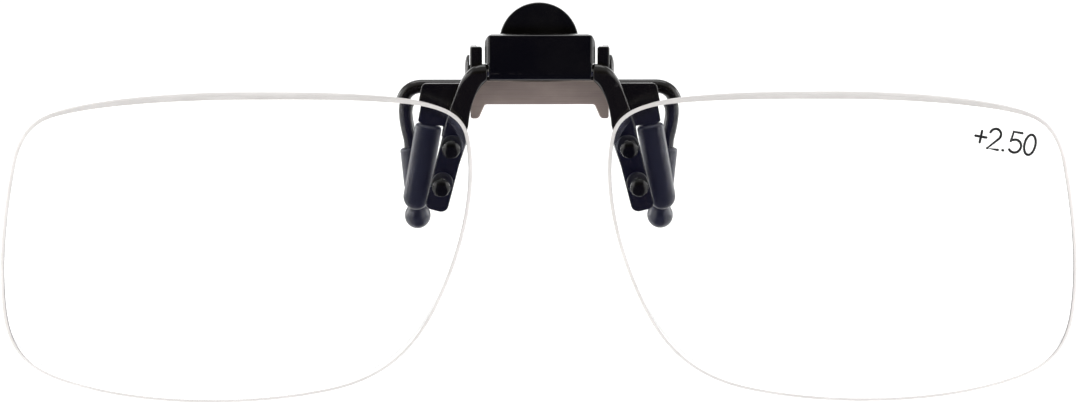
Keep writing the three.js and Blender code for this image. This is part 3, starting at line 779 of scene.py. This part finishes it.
def arm_mesh():
    """A rod at the hinge that widens into a shoulder, turns down and is pressed flat for the lens."""
    neck_z = -6.0
    neck = Vector((arm_middle(neck_z), neck_z))
    down = Vector((ARM_SLOPE, 1)).normalized() * -1
    side = Vector((-down.y, down.x)) * ARM_WIDTH / 2
    end = Vector((arm_middle(ARM_END_Z), ARM_END_Z))
    root_x = ARM_ROOT_X
    inner = bezier(((root_x, -ARM_ROOT_R), (7.0, -1.75), (8.0, -2.85), neck - side), 40) + [neck - side]
    outer = [Vector((root_x, ARM_ROOT_R))]
    outer += bezier(((6.6, 0.93), (7.8, 0.88), (8.6, 0.1), (9.25, -1.2)), 20)
    outer += bezier(((9.25, -1.2), (9.9, -2.6), (10.2, -3.9), neck + side), 20) + [neck + side]
    edges = list(zip(along(inner, 64), along(outer, 64)))
    straight = end - down * ARM_END_R
    edges += [((neck - side).lerp(straight - side, step / 12), (neck + side).lerp(straight + side, step / 12))
              for step in range(1, 13)]
    for step in range(1, 13):
        angle = math.radians(87) * step / 12
        tip = straight + down * ARM_END_R * math.sin(angle)
        reach = side * (1 - (1 - math.cos(angle)) * ARM_END_R * 2 / ARM_WIDTH)
        edges.append((tip - reach, tip + reach))
    rings = []
    travelled = 0.0
    before = None
    for inside, outside in edges:
        here = (inside + outside) / 2
        across = (outside - inside).normalized()
        half_width = (outside - inside).length / 2
        travelled += (here - before).length if before else 0
        before = here
        flat = eased(travelled, 0.5, 4.6)
        half_depth = ARM_ROOT_R + (ARM_T / 2 - ARM_ROOT_R) * flat
        ease_in = max(0.12 - travelled, 0)
        ring = []
        for u, v in oval(half_width - ease_in, half_depth - ease_in, 2 + 5 * flat):
            spot = here + across * u
            ring.append((spot.x, v, spot.y))
        rings.append(ring)
    made = skin(rings)
    holes = []
    for at in SCREW_AT.values():
        profile = [(HOLE_R, 0), (HOLE_R, 4)]
        holes.append(lathe(profile, Matrix.Translation((at.x, 2, at.y)) @ TO_FRONT, 40))
    holes.append(rod_x(AXLE_R + SEAT_GAP, ARM_ROOT_X - 1, 7.38, 0, 0))
    return cut(made, *holes)


def make_arms():
    both_sides("lens_arm_{side}", arm_mesh(), LENS_BODY, BLACK, "black_metal", LENS_PLACE)


def screw_mesh(head_y, end_y, at):
    """A domed head on a plain shank."""
    crown = arc((0, 0), 1, 90, 8, 14)
    rim = HEAD_H * 0.3
    profile = [(SCREW_R - 0.08, end_y), (SCREW_R, end_y - 0.08), (SCREW_R, head_y)]
    profile = [(radius, -height) for radius, height in profile]
    profile += [(HEAD_R - 0.06, -head_y), (HEAD_R, -head_y + 0.06)]
    dome = [(HEAD_R * r, -head_y + rim + (HEAD_H - rim) * h) for r, h in reversed(crown)]
    profile += dome[:-1] + [(0.02, -head_y + HEAD_H)]
    return lathe(profile, Matrix.Translation((at.x, 0, at.y)) @ TO_FRONT, 48)


def washer_mesh(front, back, at):
    """A nylon ring with rounded edges."""
    soft = min(0.1, (back - front) * 0.35)
    edge = WASHER_R - soft
    profile = [(HOLE_R, -back), (edge, -back), *arc((edge, -back + soft), soft, -45, 0, 2)]
    profile += [*arc((edge, -front - soft), soft, 0, 45, 2), (edge, -front), (HOLE_R, -front)]
    rings = lathe(profile, Matrix.Translation((at.x, 0, at.y)) @ TO_FRONT, 40)
    hole = lathe([(HOLE_R, -4), (HOLE_R, 8)], Matrix.Translation((at.x, 0, at.y)) @ TO_FRONT, 40)
    return cut(rings, hole)


def nut_mesh(front, at):
    """A six-sided nut with turned corners and a countersunk bore."""
    angles = [math.radians(30 + 60 * k) for k in range(6)]
    hexagon = [Vector((math.cos(angle), math.sin(angle))) * NUT_R for angle in angles]
    corners = [(point.x + at.x, point.y + at.y, 0.06) for point in hexagon]
    made = plate(rounded(corners, 3), front, front + NUT_T, edge=0.04)
    place = Matrix.Translation((at.x, 0, at.y)) @ TO_FRONT
    low, high = -front - NUT_T, -front
    turned = [(1.02, low), (1.27, low + 0.16), (1.27, high - 0.16), (1.02, high)]
    rounded_off = joined(made, [lathe(turned, place, 60)], "INTERSECT")
    bore = SCREW_R + SEAT_GAP
    sink = [(bore + 0.2, low - 0.02), (bore, low + 0.2), (bore, high - 0.2), (bore + 0.2, high + 0.02)]
    return cut(rounded_off, lathe(sink, place, 40))


def make_fasteners():
    for level in LEVELS:
        at = SCREW_AT[level]
        toward = (at - LENS_CENTRE).normalized()
        head_y = lens_surface(at - toward * HEAD_R, True) - SEAT_GAP
        nut_front = ARM_T / 2 + SEAT_GAP
        washer_front = lens_surface(at + toward * WASHER_R, False) + SEAT_GAP
        both_sides("screw_{side}_" + level, screw_mesh(head_y, nut_front + NUT_T + 0.2, at), LENS_BODY,
                   BLACK_SHADED, "black_metal", LENS_PLACE)
        both_sides("washer_{side}_" + level, washer_mesh(washer_front, -ARM_T / 2 - SEAT_GAP, at), LENS_BODY,
                   NYLON, "nylon", LENS_PLACE)
        both_sides("nut_{side}_" + level, nut_mesh(nut_front, at), LENS_BODY,
                   STEEL, "spring_steel", LENS_PLACE)


def make_axle():
    """The flip axle, with a square waist for the leaf spring to snap onto."""
    low, high = box_mm("flip_axle")
    rod = rod_x(AXLE_R, low.x, high.x, 0, 0)
    half_side, half_length = AXLE_SQUARE
    waist = block((-half_length, -1, -1), (half_length, 1, 1))
    square = plate(rounded([(-half_side, -half_side, 0.06), (half_side, -half_side, 0.06),
                            (half_side, half_side, 0.06), (-half_side, half_side, 0.06)], 3),
                   -half_length - 0.2, half_length + 0.2, edge=0.02, axis="X")
    made = united(cut(rod, waist), square)
    made.transform(LENS_PLACE)
    piece("flip_axle", made, LENS_BODY, STEEL, "spring_steel")


# ---- power mark

MARK_CENTRE = Vector((54.1, -7.5))
MARK_TURN = math.radians(-12)
MARK_HEIGHT = 2.35
MARK_STROKE = 0.15  # half the width of a stroke
MARK_TOP = 0.02  # above the lens

PLUS = [[(-0.28, 0.5), (0.28, 0.5)], [(0, 0.22), (0, 0.78)]]
POINT = [[(-0.02, 0.02), (0.02, 0.02)]]
FULL_TURN = [math.radians(15 * k) for k in range(25)]
ZERO = [[(0.28 * math.sin(angle), 0.5 - 0.5 * math.cos(angle)) for angle in FULL_TURN]]
TWO = [arc((0, 0.72), 0.28, 165, -38, 12) + [(-0.27, 0), (0.28, 0)]]
FIVE = [[(0.24, 1), (-0.2, 1), (-0.25, 0.53)] + arc((0, 0.32), 0.32, 118, -140, 14)]
GLYPHS = [(PLUS, -3.2), (TWO, -1.55), (POINT, -0.3), (FIVE, 1.0), (ZERO, 2.75)]


def stroke_outline(points):
    """The outline of a stroke with round ends."""
    ahead, behind = [], []
    for index, here in enumerate(points):
        before = points[max(index - 1, 0)]
        after = points[min(index + 1, len(points) - 1)]
        forward = (after - before).normalized()
        across = Vector((-forward.y, forward.x)) * MARK_STROKE
        ahead.append(here + across)
        behind.append(here - across)
    return ahead, behind


def mark_mesh():
    """The lens power in plain strokes, printed on the front of the right lens."""
    made = bmesh.new()

    def on_lens(spot, height):
        turned = MARK_CENTRE + Matrix.Rotation(MARK_TURN, 2) @ spot
        return (turned.x, lens_surface(turned, True) - height, turned.y)

    def slab(outline):
        top = [made.verts.new(on_lens(spot, MARK_TOP)) for spot in outline]
        foot = [made.verts.new(on_lens(spot, -0.01)) for spot in outline]
        made.faces.new(top)
        made.faces.new(reversed(foot))
        for index in range(len(outline)):
            after = (index + 1) % len(outline)
            made.faces.new((top[index], foot[index], foot[after], top[after]))

    for glyph, place in GLYPHS:
        for stroke in glyph:
            spots = [Vector((place + u * MARK_HEIGHT, (v - 0.5) * MARK_HEIGHT)) for u, v in stroke]
            ahead, behind = stroke_outline(spots)
            for index in range(len(spots) - 1):
                slab([ahead[index], ahead[index + 1], behind[index + 1], behind[index]])
            for end in (spots[0], spots[-1], *spots[1:-1]):
                slab([end + Vector((math.cos(k * math.pi / 6), math.sin(k * math.pi / 6))) * MARK_STROKE
                      for k in range(12)])
    bmesh.ops.recalc_face_normals(made, faces=made.faces)
    return made


def make_mark():
    made = mark_mesh()
    made.transform(LENS_PLACE)
    piece("power_mark", made, LENS_BODY, INK, "black_metal")


# ---- hinge cover and leaf spring

def cover_mesh():
    """A drawn shell with sloping sides and round shoulders, and the rolled barrel along its foot."""
    low, high = box_mm("hinge_cover")
    front = low.y
    back = high.y
    half = high.x
    top = high.z
    side_foot = FLIP_Z + ARM_ROOT_R + 0.05
    under = side_foot - 2
    inset, slope = COVER_SLOPE

    def ring(reach, drop, corner, y):
        outline = rounded([(-reach, under, 0), (reach, under, 0), (reach, top - drop, corner),
                           (-reach, top - drop, corner)], 12)
        return [(point.x, y, point.y) for point in outline]

    face = half - inset
    roll = [(-0.02, 0, 0.10, 0.12), (0.04, 0.006, 0.08, 0.13), (0.12, 0.035, 0.055, 0.15),
            (0.21, 0.095, 0.035, 0.20), (0.29, 0.175, 0.02, 0.28), (0.34, 0.26, 0.01, 0.36)]
    outside = [ring(face + out, drop, corner, front + deep) for out, deep, drop, corner in roll]
    for step in range(1, 5):
        share = step / 4
        outside.append(ring(face + 0.34 + (inset - 0.36) * share, 0.01 * (1 - share),
                            0.36 + (COVER_CORNER_R - 0.40) * share, front + 0.26 + (slope - 0.30) * share))
    outside += [ring(half - 0.01, 0.002, COVER_CORNER_R - 0.03, front + slope + 0.08),
                ring(half, 0, COVER_CORNER_R, front + slope + 0.2),
                ring(half, 0, COVER_CORNER_R, back - 0.05),
                ring(half - 0.04, 0.04, COVER_CORNER_R - 0.04, back)]
    inner = half - COVER_T
    hollow = [ring(inner - inset, COVER_T, 0.2, front + COVER_T),
              ring(inner, COVER_T, COVER_CORNER_R - COVER_T, front + COVER_T + slope),
              ring(inner, COVER_T, COVER_CORNER_R - COVER_T, back + 1)]
    below = block((-9, front - 1, under - 2), (9, back + 3, side_foot))
    shell = cut(skin(outside), skin(hollow), below)
    foot = rounded([(-BARREL_HALF, FLIP_Z - 0.2, 0.1), (BARREL_HALF, FLIP_Z - 0.2, 0.1),
                    (BARREL_HALF, side_foot + 0.1, 0), (face - 0.02, side_foot + 0.25, 0),
                    (0.02 - face, side_foot + 0.25, 0), (-BARREL_HALF, side_foot + 0.1, 0)], 3)
    face_foot = plate(foot, front, front + COVER_T, edge=0.05)
    barrel = rod_x(BARREL_R, -BARREL_HALF, BARREL_HALF, FLIP_Y, FLIP_Z, edge=0.14, sides=72)
    made = united(shell, face_foot, barrel)
    bore = rod_x(BORE_R, -9, 9, FLIP_Y, FLIP_Z)
    window = block((-LEAF_HALF - 0.4, front + COVER_T, FLIP_Z), (LEAF_HALF + 0.4, back + 0.5, side_foot))
    return cut(made, bore, window)


def make_cover():
    piece("hinge_cover", cover_mesh(), FRONT_BODY, BLACK_SHADED, "black_metal", sharp=38)


def make_leaf():
    """A strip that stands behind the cover's face and bends forward over the axle."""
    low, high = box_mm("detent_spring")
    bend = 0.35
    middle = LEAF_T / 2
    foot_z = low.z + middle
    corner = Vector((0, high.y - middle - bend, foot_z + bend))
    path = [Vector((0, high.y - middle, high.z))]
    for step in range(9):
        angle = step / 8 * math.pi / 2
        path.append(corner + Vector((0, math.cos(angle), -math.sin(angle))) * bend)
    path.append(Vector((0, low.y, foot_z)))
    outline = []
    for side in (1, -1):
        line = path if side > 0 else list(reversed(path))
        for index, here in enumerate(line):
            before = line[max(index - 1, 0)]
            after = line[min(index + 1, len(line) - 1)]
            forward = (after - before).normalized()
            outline.append(Vector((here.y - forward.z * middle, here.z + forward.y * middle)))
    made = plate(outline, -LEAF_HALF, LEAF_HALF, edge=0.05, axis="X", steps=2)
    piece("detent_spring", made, FRONT_BODY, STEEL, "spring_steel")


# ---- fixed front of the clip

def mirrored(half):
    """Half an outline and its mirror image, as one run of corners."""
    return half + [(-x, z, radius) for x, z, radius in reversed(half)]


def front_plate_mesh():
    """The plate behind the cover, its two ears, the flanges that carry the pin, and the stop lip."""
    soft = 0.18
    inner_ear, outer_ear = EAR_X[0], EAR_X[1] - FLANGE_BEND
    half = [
        (outer_ear, PLATE_FOOT_Z, 0), (outer_ear, EAR_TOP_Z, 0), (inner_ear, EAR_TOP_Z, 0.3),
        (inner_ear, PLATE_SHOULDER_Z, 0.25), (PLATE_MID_HALF, PLATE_SHOULDER_Z, 0.25),
        (PLATE_MID_HALF, PLATE_TOP_Z, 0.5),
    ]
    corners = mirrored(half)
    made = plate(rounded(corners), PLATE_FRONT_Y, PLATE_BACK_Y)
    low = box_mm("front_plate")[0]
    leg_front = box_mm("bridge_saddle")[1].y - SADDLE_REBATE + SEAT_GAP
    outline = rounded([
        (PLATE_FRONT_Y, EAR_TOP_Z, soft), (PLATE_FRONT_Y, PLATE_FOOT_Z, 0.15),
        (leg_front, PLATE_FOOT_Z, 0.15), (leg_front, low.z, 0.25),
        (FLANGE_BACK_Y, low.z, 0.4), (FLANGE_BACK_Y, EAR_TOP_Z, FLANGE_NOSE_R),
    ], 12)
    right = plate(outline, EAR_X[1] - PLATE_T, EAR_X[1], edge=EDGE, far_edge=FLANGE_BEND, axis="X", steps=6)
    left = copy_of(right, MIRROR)
    lip_foot = PLATE_TOP_Z - PLATE_T
    lip_outline = rounded([(-STOP_LIP_HALF, lip_foot, 0), (STOP_LIP_HALF, lip_foot, 0),
                           (STOP_LIP_HALF, PLATE_TOP_Z, 0.2), (-STOP_LIP_HALF, PLATE_TOP_Z, 0.2)], 4)
    lip = plate(lip_outline, PLATE_BACK_Y - 0.4, STOP_LIP_BACK_Y, edge=0, far_edge=0.15)
    made = united(made, right, left, lip)
    return cut(made, rod_x(PIN_R + SEAT_GAP, -9, 9, PIN_Y, PIN_Z))


def make_front_plate():
    piece("front_plate", front_plate_mesh(), FRONT_BODY, BLACK, "black_metal", sharp=50)


def make_pin():
    """The clamp pin, riveted to a dome at both ends."""
    high = box_mm("clamp_pin")[1]
    seat = high.x - PIN_HEAD_H
    rim = PIN_HEAD_H * 0.22
    profile = [(PIN_R, 0), (PIN_R, seat), (PIN_HEAD_R - 0.06, seat), (PIN_HEAD_R, seat + 0.05)]
    for radius, height in arc((0, 0), 1, 8, 88, 12):
        profile.append((PIN_HEAD_R * radius, seat + rim + (PIN_HEAD_H - rim) * height))
    whole = [(radius, -height) for radius, height in reversed(profile[1:])] + profile[1:]
    made = lathe(whole, Matrix.Translation((0, PIN_Y, PIN_Z)) @ ALONG_X, 56)
    piece("clamp_pin", made, FRONT_BODY, BLACK, "black_metal")


def make_torsion_spring():
    """The coil on the pin. It twists between the fixed front and the sprung rear of the clip."""
    steps = round(COIL_TURNS * 24)
    half = COIL_TURNS * COIL_PITCH / 2

    def coil_point(share):
        angle = share * COIL_TURNS * 2 * math.pi
        across = (2 * share - 1) * half
        return Vector((across, PIN_Y - COIL_R * math.cos(angle), PIN_Z + COIL_R * math.sin(angle)))

    turns = [coil_point(step / steps) for step in range(steps + 1)]
    foot = Vector((turns[0].x, PLATE_BACK_Y + COIL_WIRE_R + SEAT_GAP, PLATE_FOOT_Z + 0.1))
    last_angle = COIL_TURNS * 2 * math.pi
    leaving = Vector((0, math.sin(last_angle), math.cos(last_angle)))
    end = turns[-1] + leaving * (CLAMP_FRONT_Y - COIL_WIRE_R - SEAT_GAP - turns[-1].y) / leaving.y
    lead = [foot.lerp(turns[0], step / 6) for step in range(6)]
    tail = [turns[-1].lerp(end, step / 8) for step in range(1, 9)]
    made = round_bar([*lead, *turns, *tail], COIL_WIRE_R, 14)
    spring = piece("torsion_spring", made, FRONT_BODY, STEEL, "spring_steel", weighted=False)
    spring.parent = None
    del spring["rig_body"]
    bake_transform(spring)


def make_saddle():
    """The bridge bar: a flat bar with two short legs, left bare."""
    low, high = box_mm("bridge_saddle")
    half = [(high.x, high.z, 0.15), (high.x, low.z, 0.3), (SADDLE_LEG_X, low.z, 0.55),
            (SADDLE_ARCH_HALF, SADDLE_ARCH_Z, 0.3)]
    corners = mirrored(half)
    made = plate(rounded(corners), low.y, high.y, edge=0.14, steps=4)
    reach = high.x + 1
    rebates = [block((start, high.y - SADDLE_REBATE, REBATE_Z), (end, high.y + 1, high.z + 1))
               for start, end in ((-reach, -REBATE_X), (REBATE_X, reach))]
    made = cut(made, *rebates)
    piece("bridge_saddle", made, FRONT_BODY, BARE, "bare_metal")


def prong_point(down, out):
    """A point at a distance down a front prong from its sleeve's top, offset to the outside."""
    along_prong = Vector((math.sin(PRONG_SPLAY), -math.cos(PRONG_SPLAY)))
    across = Vector((math.cos(PRONG_SPLAY), math.sin(PRONG_SPLAY)))
    return SLEEVE_TOP + along_prong * down + across * out


def make_prongs():
    """Flat prongs welded to the flanges. Their narrow ends are inside the sleeves."""
    low, high = box_mm("front_prong_right")
    inner = low.x
    beside = -SLEEVE_HALF_WIDTH - 0.13
    tongue, bay, corner = prong_point(1.3, beside), prong_point(-0.1, beside), prong_point(-0.1, 1.3)
    tip = [prong_point(*at) for at in ((-0.1, -TIP_HALF), (TIP_LENGTH, -TIP_HALF), (TIP_LENGTH, TIP_HALF),
                                       (-0.1, TIP_HALF))]
    corners = [
        (inner, high.z, 0.15), (inner, 8.35, 0.2), (8.75, 6.75, 0.8), (10.4, 5.05, 0.3), (*tongue, 0.12),
        (*bay, 0.1), (*tip[0], 0.05), (*tip[1], 0.4), (*tip[2], 0.4), (*tip[3], 0.05), (*corner, 0.25),
        (13.72, high.z, 0.65),
    ]
    made = plate(rounded(corners, 6), low.y, high.y)
    both_sides("front_prong_{side}", made, FRONT_BODY, BLACK, "black_metal")


def make_front_sleeves():
    """Soft sleeves with a rounded shoulder, an open mouth round the prong and a round end."""
    mouth_width, mouth_depth = TIP_HALF + 0.1, PRONG_T / 2 + 0.1
    levels = [(0.7, mouth_width, mouth_depth, 5), (0.16, mouth_width, mouth_depth, 5),
              (0.03, mouth_width + 0.12, mouth_depth + 0.12, 4)]
    shoulder = 0.45
    for step in range(9):
        angle = step / 8 * math.pi / 2
        grow = math.sin(angle)
        levels.append((shoulder * (1 - math.cos(angle)), SLEEVE_HALF_WIDTH - shoulder * (1 - grow),
                       SLEEVE_HALF_DEPTH - shoulder * (1 - grow), 2.8))
    straight_end = SLEEVE_LENGTH - SLEEVE_HALF_WIDTH
    for step in range(1, 12):
        levels.append((shoulder + (straight_end - shoulder) * step / 11, SLEEVE_HALF_WIDTH,
                       SLEEVE_HALF_DEPTH, 2.8))
    for step in range(1, 13):
        angle = step / 12 * math.radians(89)
        levels.append((straight_end + SLEEVE_HALF_WIDTH * math.sin(angle),
                       SLEEVE_HALF_WIDTH * math.cos(angle), SLEEVE_HALF_DEPTH * math.cos(angle) ** 0.8, 2.6))
    middle_y = PRONG_FRONT_Y + PRONG_T / 2
    rings = []
    for down, half_width, half_depth, power in levels:
        ring = []
        for u, v in oval(half_width, half_depth, power, 56):
            spot = prong_point(down, u)
            ring.append((spot.x, middle_y + v, spot.y))
        rings.append(ring)
    both_sides("front_sleeve_{side}", skin(rings), FRONT_BODY, VINYL, "sleeve_vinyl", weighted=False)


# ---- sprung rear of the clip

def rear_clamp_mesh():
    """The thumb tab, the plate below it, its two lugs on the pin and the curl that holds the wires."""
    foot = [(-CLAMP_HALF, WIRE_Z, 0), (CLAMP_HALF, WIRE_Z, 0), (CLAMP_HALF, TAB_CENTRE_Z, 0.6),
            (TAB_R, TAB_CENTRE_Z, 0), (-TAB_R, TAB_CENTRE_Z, 0), (-CLAMP_HALF, TAB_CENTRE_Z, 0.6)]
    outline = rounded(foot)
    at = outline.index(Vector((TAB_R, TAB_CENTRE_Z))) + 1
    outline[at:at] = [Vector((u, TAB_CENTRE_Z + v)) for u, v in arc((0, 0), TAB_R, 0, 180, 60)[1:-1]]
    made = plate(outline, CLAMP_FRONT_Y, CLAMP_BACK_Y, edge=0.16, steps=4)
    low = box_mm("rear_clamp")[0]
    nose = (LUG_Z[1] - LUG_Z[0]) / 2 - 0.05
    lug_outline = rounded([(CLAMP_BACK_Y, LUG_Z[0], 0.2), (CLAMP_BACK_Y, LUG_Z[1], 0.2),
                           (low.y, LUG_Z[1], nose), (low.y, LUG_Z[0], nose)], 14)
    right = plate(lug_outline, CLAMP_HALF - CLAMP_T, CLAMP_HALF, edge=EDGE, far_edge=0.2, axis="X", steps=4)
    left = copy_of(right, MIRROR)
    outer = WIRE_R + SEAT_GAP + CLAMP_T
    curl = arc((WIRE_Y, WIRE_Z), outer, 180, 405, 44)
    curl += list(reversed(arc((WIRE_Y, WIRE_Z), WIRE_R + SEAT_GAP, 180, 405, 44)))
    curl_plate = plate([Vector(point) for point in curl], -CLAMP_HALF, CLAMP_HALF, edge=0.1, axis="X")
    made = united(made, right, left, curl_plate)
    return cut(made, rod_x(PIN_R + 0.06, -9, 9, PIN_Y, PIN_Z))


def make_rear_clamp():
    piece("rear_clamp", rear_clamp_mesh(), REAR_BODY, BLACK_TAB, "black_metal", sharp=50)


def sleeve_point(up):
    """A point up a rear sleeve's axis from the middle of its ball end."""
    return Vector((BALL.x + math.sin(REAR_TOE) * up, WIRE_Y, BALL.y + math.cos(REAR_TOE) * up))


def make_wires():
    """Round wire from the curl out to the shoulder and down into the sleeve."""
    bend_start = Vector((13.6, WIRE_Y, WIRE_Z))
    bend_end = sleeve_point(REAR_SLEEVE_LENGTH + 1.0)
    shoulder = (Vector((15.9, WIRE_Y, WIRE_Z + 0.05)), Vector((16.9, WIRE_Y, 7.8)))
    line = [Vector((0.2, WIRE_Y, WIRE_Z))]
    line += bezier((bend_start, *shoulder, bend_end), 48)
    line += [bend_end, sleeve_point(0)]
    made = round_bar(along(line, 150), WIRE_R, 28)
    both_sides("rear_wire_{side}", made, REAR_BODY, BLACK, "black_metal", weighted=False)


def make_rear_sleeves():
    """Sleeves dipped over the wire, each with a ball at its end."""
    bore = WIRE_R + SEAT_GAP
    profile = arc((0, 0), BALL_R, -89, 40, 22)
    neck = [Vector(profile[-1]), Vector((0.95, 1.3)), Vector((1.12, 2.4)), Vector((REAR_SLEEVE_R, 4.2))]
    profile += [(point.x, point.y) for point in bezier(neck, 12)[1:]]
    profile += arc((REAR_SLEEVE_R - 0.3, REAR_SLEEVE_LENGTH - 0.3), 0.3, 0, 90, 6)
    top = REAR_SLEEVE_LENGTH
    profile += [(bore + 0.04, top), (bore, top - 0.05), (bore, top - 0.8)]
    place = Matrix.Translation((BALL.x, WIRE_Y, BALL.y)) @ Matrix.Rotation(REAR_TOE, 4, "Y")
    both_sides("rear_sleeve_{side}", lathe(profile, place, 56), REAR_BODY, VINYL, "sleeve_vinyl",
               weighted=False)


# ---- studio

FLOOR_DROP = 0.045
FLOOR_HALF = 6.0
FLOOR_GLOW = 0.30
DARK_REFLECTION_AHEAD = (0.02, 0.05)  # where the painted dark reflection ends towards the back, in metres
DARK_REFLECTION_ASIDE = (0.035, 0.065)  # and to the sides
DARK_REFLECTION_FLARE = 0.6  # how much narrower it is further back
CAMERA_DISTANCE = 0.6
CAMERA_AZIMUTH = math.radians(-1.0)
CAMERA_ELEVATION = math.radians(6.0)
VIEW_WIDTH = 0.12558  # across the picture, at the object
AIM = Vector((0.0, -0.006, -0.00317))
FRONT_DARK = 0.05  # brightness of the room behind the camera
PAINTED_DARK_REFLECTION = (0.06, 0.06, 0.12)  # painted dark reflection: what a reflection shows of the floor in front of the object


def make_floor():
    """Pale paper. Reflections alone show it dark in front of the object: a painted dark reflection."""
    level = CAD_BOX[0].z - FLOOR_DROP
    mesh = bpy.data.meshes.new("floor")
    corners = ((-1, -1), (1, -1), (1, 1), (-1, 1))
    mesh.from_pydata([(x * FLOOR_HALF, y * FLOOR_HALF, level) for x, y in corners], [], [(0, 1, 2, 3)])
    paper = Painter("floor_paper")
    tone = paper.noise(0.004, detail=2, seed=91)
    colour = paper.mixed(tone, (0.86, 0.86, 0.86), (0.88, 0.88, 0.88))
    paper.plain(Specular_IOR_Level=0.0, Emission_Color=(1, 1, 1, 1), Emission_Strength=FLOOR_GLOW)
    paper.finish(colour, paper.spread(tone, 0.3, 0.7, 0.85, 0.95))
    # painted dark reflection: glossy rays see this dark emission in place of the pale paper
    dark_reflection = paper.add("ShaderNodeEmission")
    dark_reflection.inputs["Color"].default_value = (*PAINTED_DARK_REFLECTION, 1)
    split = paper.add("ShaderNodeSeparateXYZ")
    paper.link(paper.place, split.inputs[0])
    ahead = paper.spread(split.outputs["Y"], *DARK_REFLECTION_AHEAD, 1, 0)
    aside = paper.maths("ADD", paper.maths("ABSOLUTE", split.outputs["X"], 0),
                        paper.maths("MULTIPLY", split.outputs["Y"], DARK_REFLECTION_FLARE))
    middle = paper.spread(aside, *DARK_REFLECTION_ASIDE, 1, 0)
    reflected = paper.maths("GREATER_THAN", paper.add("ShaderNodeLightPath").outputs["Glossy Depth"], 0.5)
    chosen = paper.add("ShaderNodeMixShader")
    paper.link(paper.maths("MULTIPLY", reflected, paper.maths("MULTIPLY", ahead, middle)), chosen.inputs[0])
    paper.link(paper.shader.outputs[0], chosen.inputs[1])
    paper.link(dark_reflection.outputs[0], chosen.inputs[2])
    paper.link(chosen.outputs[0], paper.tree.nodes["Material Output"].inputs["Surface"])
    mesh.materials.append(paper.material)
    floor = bpy.data.objects.new("floor", mesh)
    bpy.context.scene.collection.objects.link(floor)


def make_world():
    """White strips at the sides, above and behind, and a dark front, so that the black paint stays deep."""
    world = bpy.data.worlds.new("studio")
    bpy.context.scene.world = world
    world.use_nodes = True
    tree = world.node_tree
    background = tree.nodes["Background"]
    coordinates = tree.nodes.new("ShaderNodeTexCoord")
    split = tree.nodes.new("ShaderNodeSeparateXYZ")
    tree.links.new(coordinates.outputs["Generated"], split.inputs[0])

    def ramp(source, low, high, to_low, to_high):
        node = tree.nodes.new("ShaderNodeMapRange")
        node.interpolation_type = "SMOOTHSTEP"
        tree.links.new(source, node.inputs["Value"])
        for name, value in zip(("From Min", "From Max", "To Min", "To Max"), (low, high, to_low, to_high)):
            node.inputs[name].default_value = value
        return node.outputs["Result"]

    def joined_by(operation, a, b):
        node = tree.nodes.new("ShaderNodeMath")
        node.operation = operation
        tree.links.new(a, node.inputs[0])
        tree.links.new(b, node.inputs[1])
        return node.outputs[0]

    sideways = tree.nodes.new("ShaderNodeMath")
    sideways.operation = "ABSOLUTE"
    tree.links.new(split.outputs["X"], sideways.inputs[0])
    strips = joined_by("MULTIPLY", ramp(sideways.outputs[0], 0.50, 0.75, 0.0, 2.5),
                       ramp(split.outputs["Y"], -0.05, 0.20, 1.0, 0.02))
    behind = ramp(split.outputs["Y"], 0.70, 0.93, 0.0, 1.3)
    above = ramp(split.outputs["Z"], 0.30, 0.75, FRONT_DARK, 0.6)
    lit = joined_by("MAXIMUM", joined_by("MAXIMUM", strips, behind), above)
    tree.links.new(lit, background.inputs["Strength"])
    background.inputs["Color"].default_value = (1.0, 1.0, 1.0, 1)


def area_light(name, place, aim, size, power):
    data = bpy.data.lights.new(name, "AREA")
    data.shape = "RECTANGLE"
    data.size, data.size_y = size
    data.energy = power
    light = bpy.data.objects.new(name, data)
    light.location = place
    light.rotation_euler = (Vector(aim) - Vector(place)).to_track_quat("-Z", "Y").to_euler()
    bpy.context.scene.collection.objects.link(light)
    return light


def make_lights():
    area_light("top_soft", (0.0, 0.25, 1.1), (0, 0.1, 0), (1.0, 0.6), 5.0)
    for name, side in (("left_high", -1), ("right_high", 1)):
        area_light(name, (1.0 * side, 0.42, 0.27), (0, 0, 0), (0.45, 0.62), 7.0)


def make_camera():
    data = bpy.data.cameras.new("camera")
    data.sensor_width = 36.0
    data.lens = data.sensor_width * CAMERA_DISTANCE / VIEW_WIDTH
    data.clip_start, data.clip_end = 0.05, 30.0
    camera = bpy.data.objects.new("camera", data)
    back = Vector((
        math.sin(CAMERA_AZIMUTH) * math.cos(CAMERA_ELEVATION),
        -math.cos(CAMERA_AZIMUTH) * math.cos(CAMERA_ELEVATION),
        math.sin(CAMERA_ELEVATION),
    ))
    camera.location = AIM + back * CAMERA_DISTANCE
    camera.rotation_euler = (-back).to_track_quat("-Z", "Y").to_euler()
    bpy.context.scene.collection.objects.link(camera)
    bpy.context.scene.camera = camera


make_lenses()
make_arms()
make_fasteners()
make_axle()
make_mark()
make_cover()
make_leaf()
make_front_plate()
make_pin()
make_torsion_spring()
make_saddle()
make_prongs()
make_front_sleeves()
make_rear_clamp()
make_wires()
make_rear_sleeves()
make_floor()
make_world()
make_lights()
make_camera()
bpy.context.scene.view_settings.view_transform = "Standard"
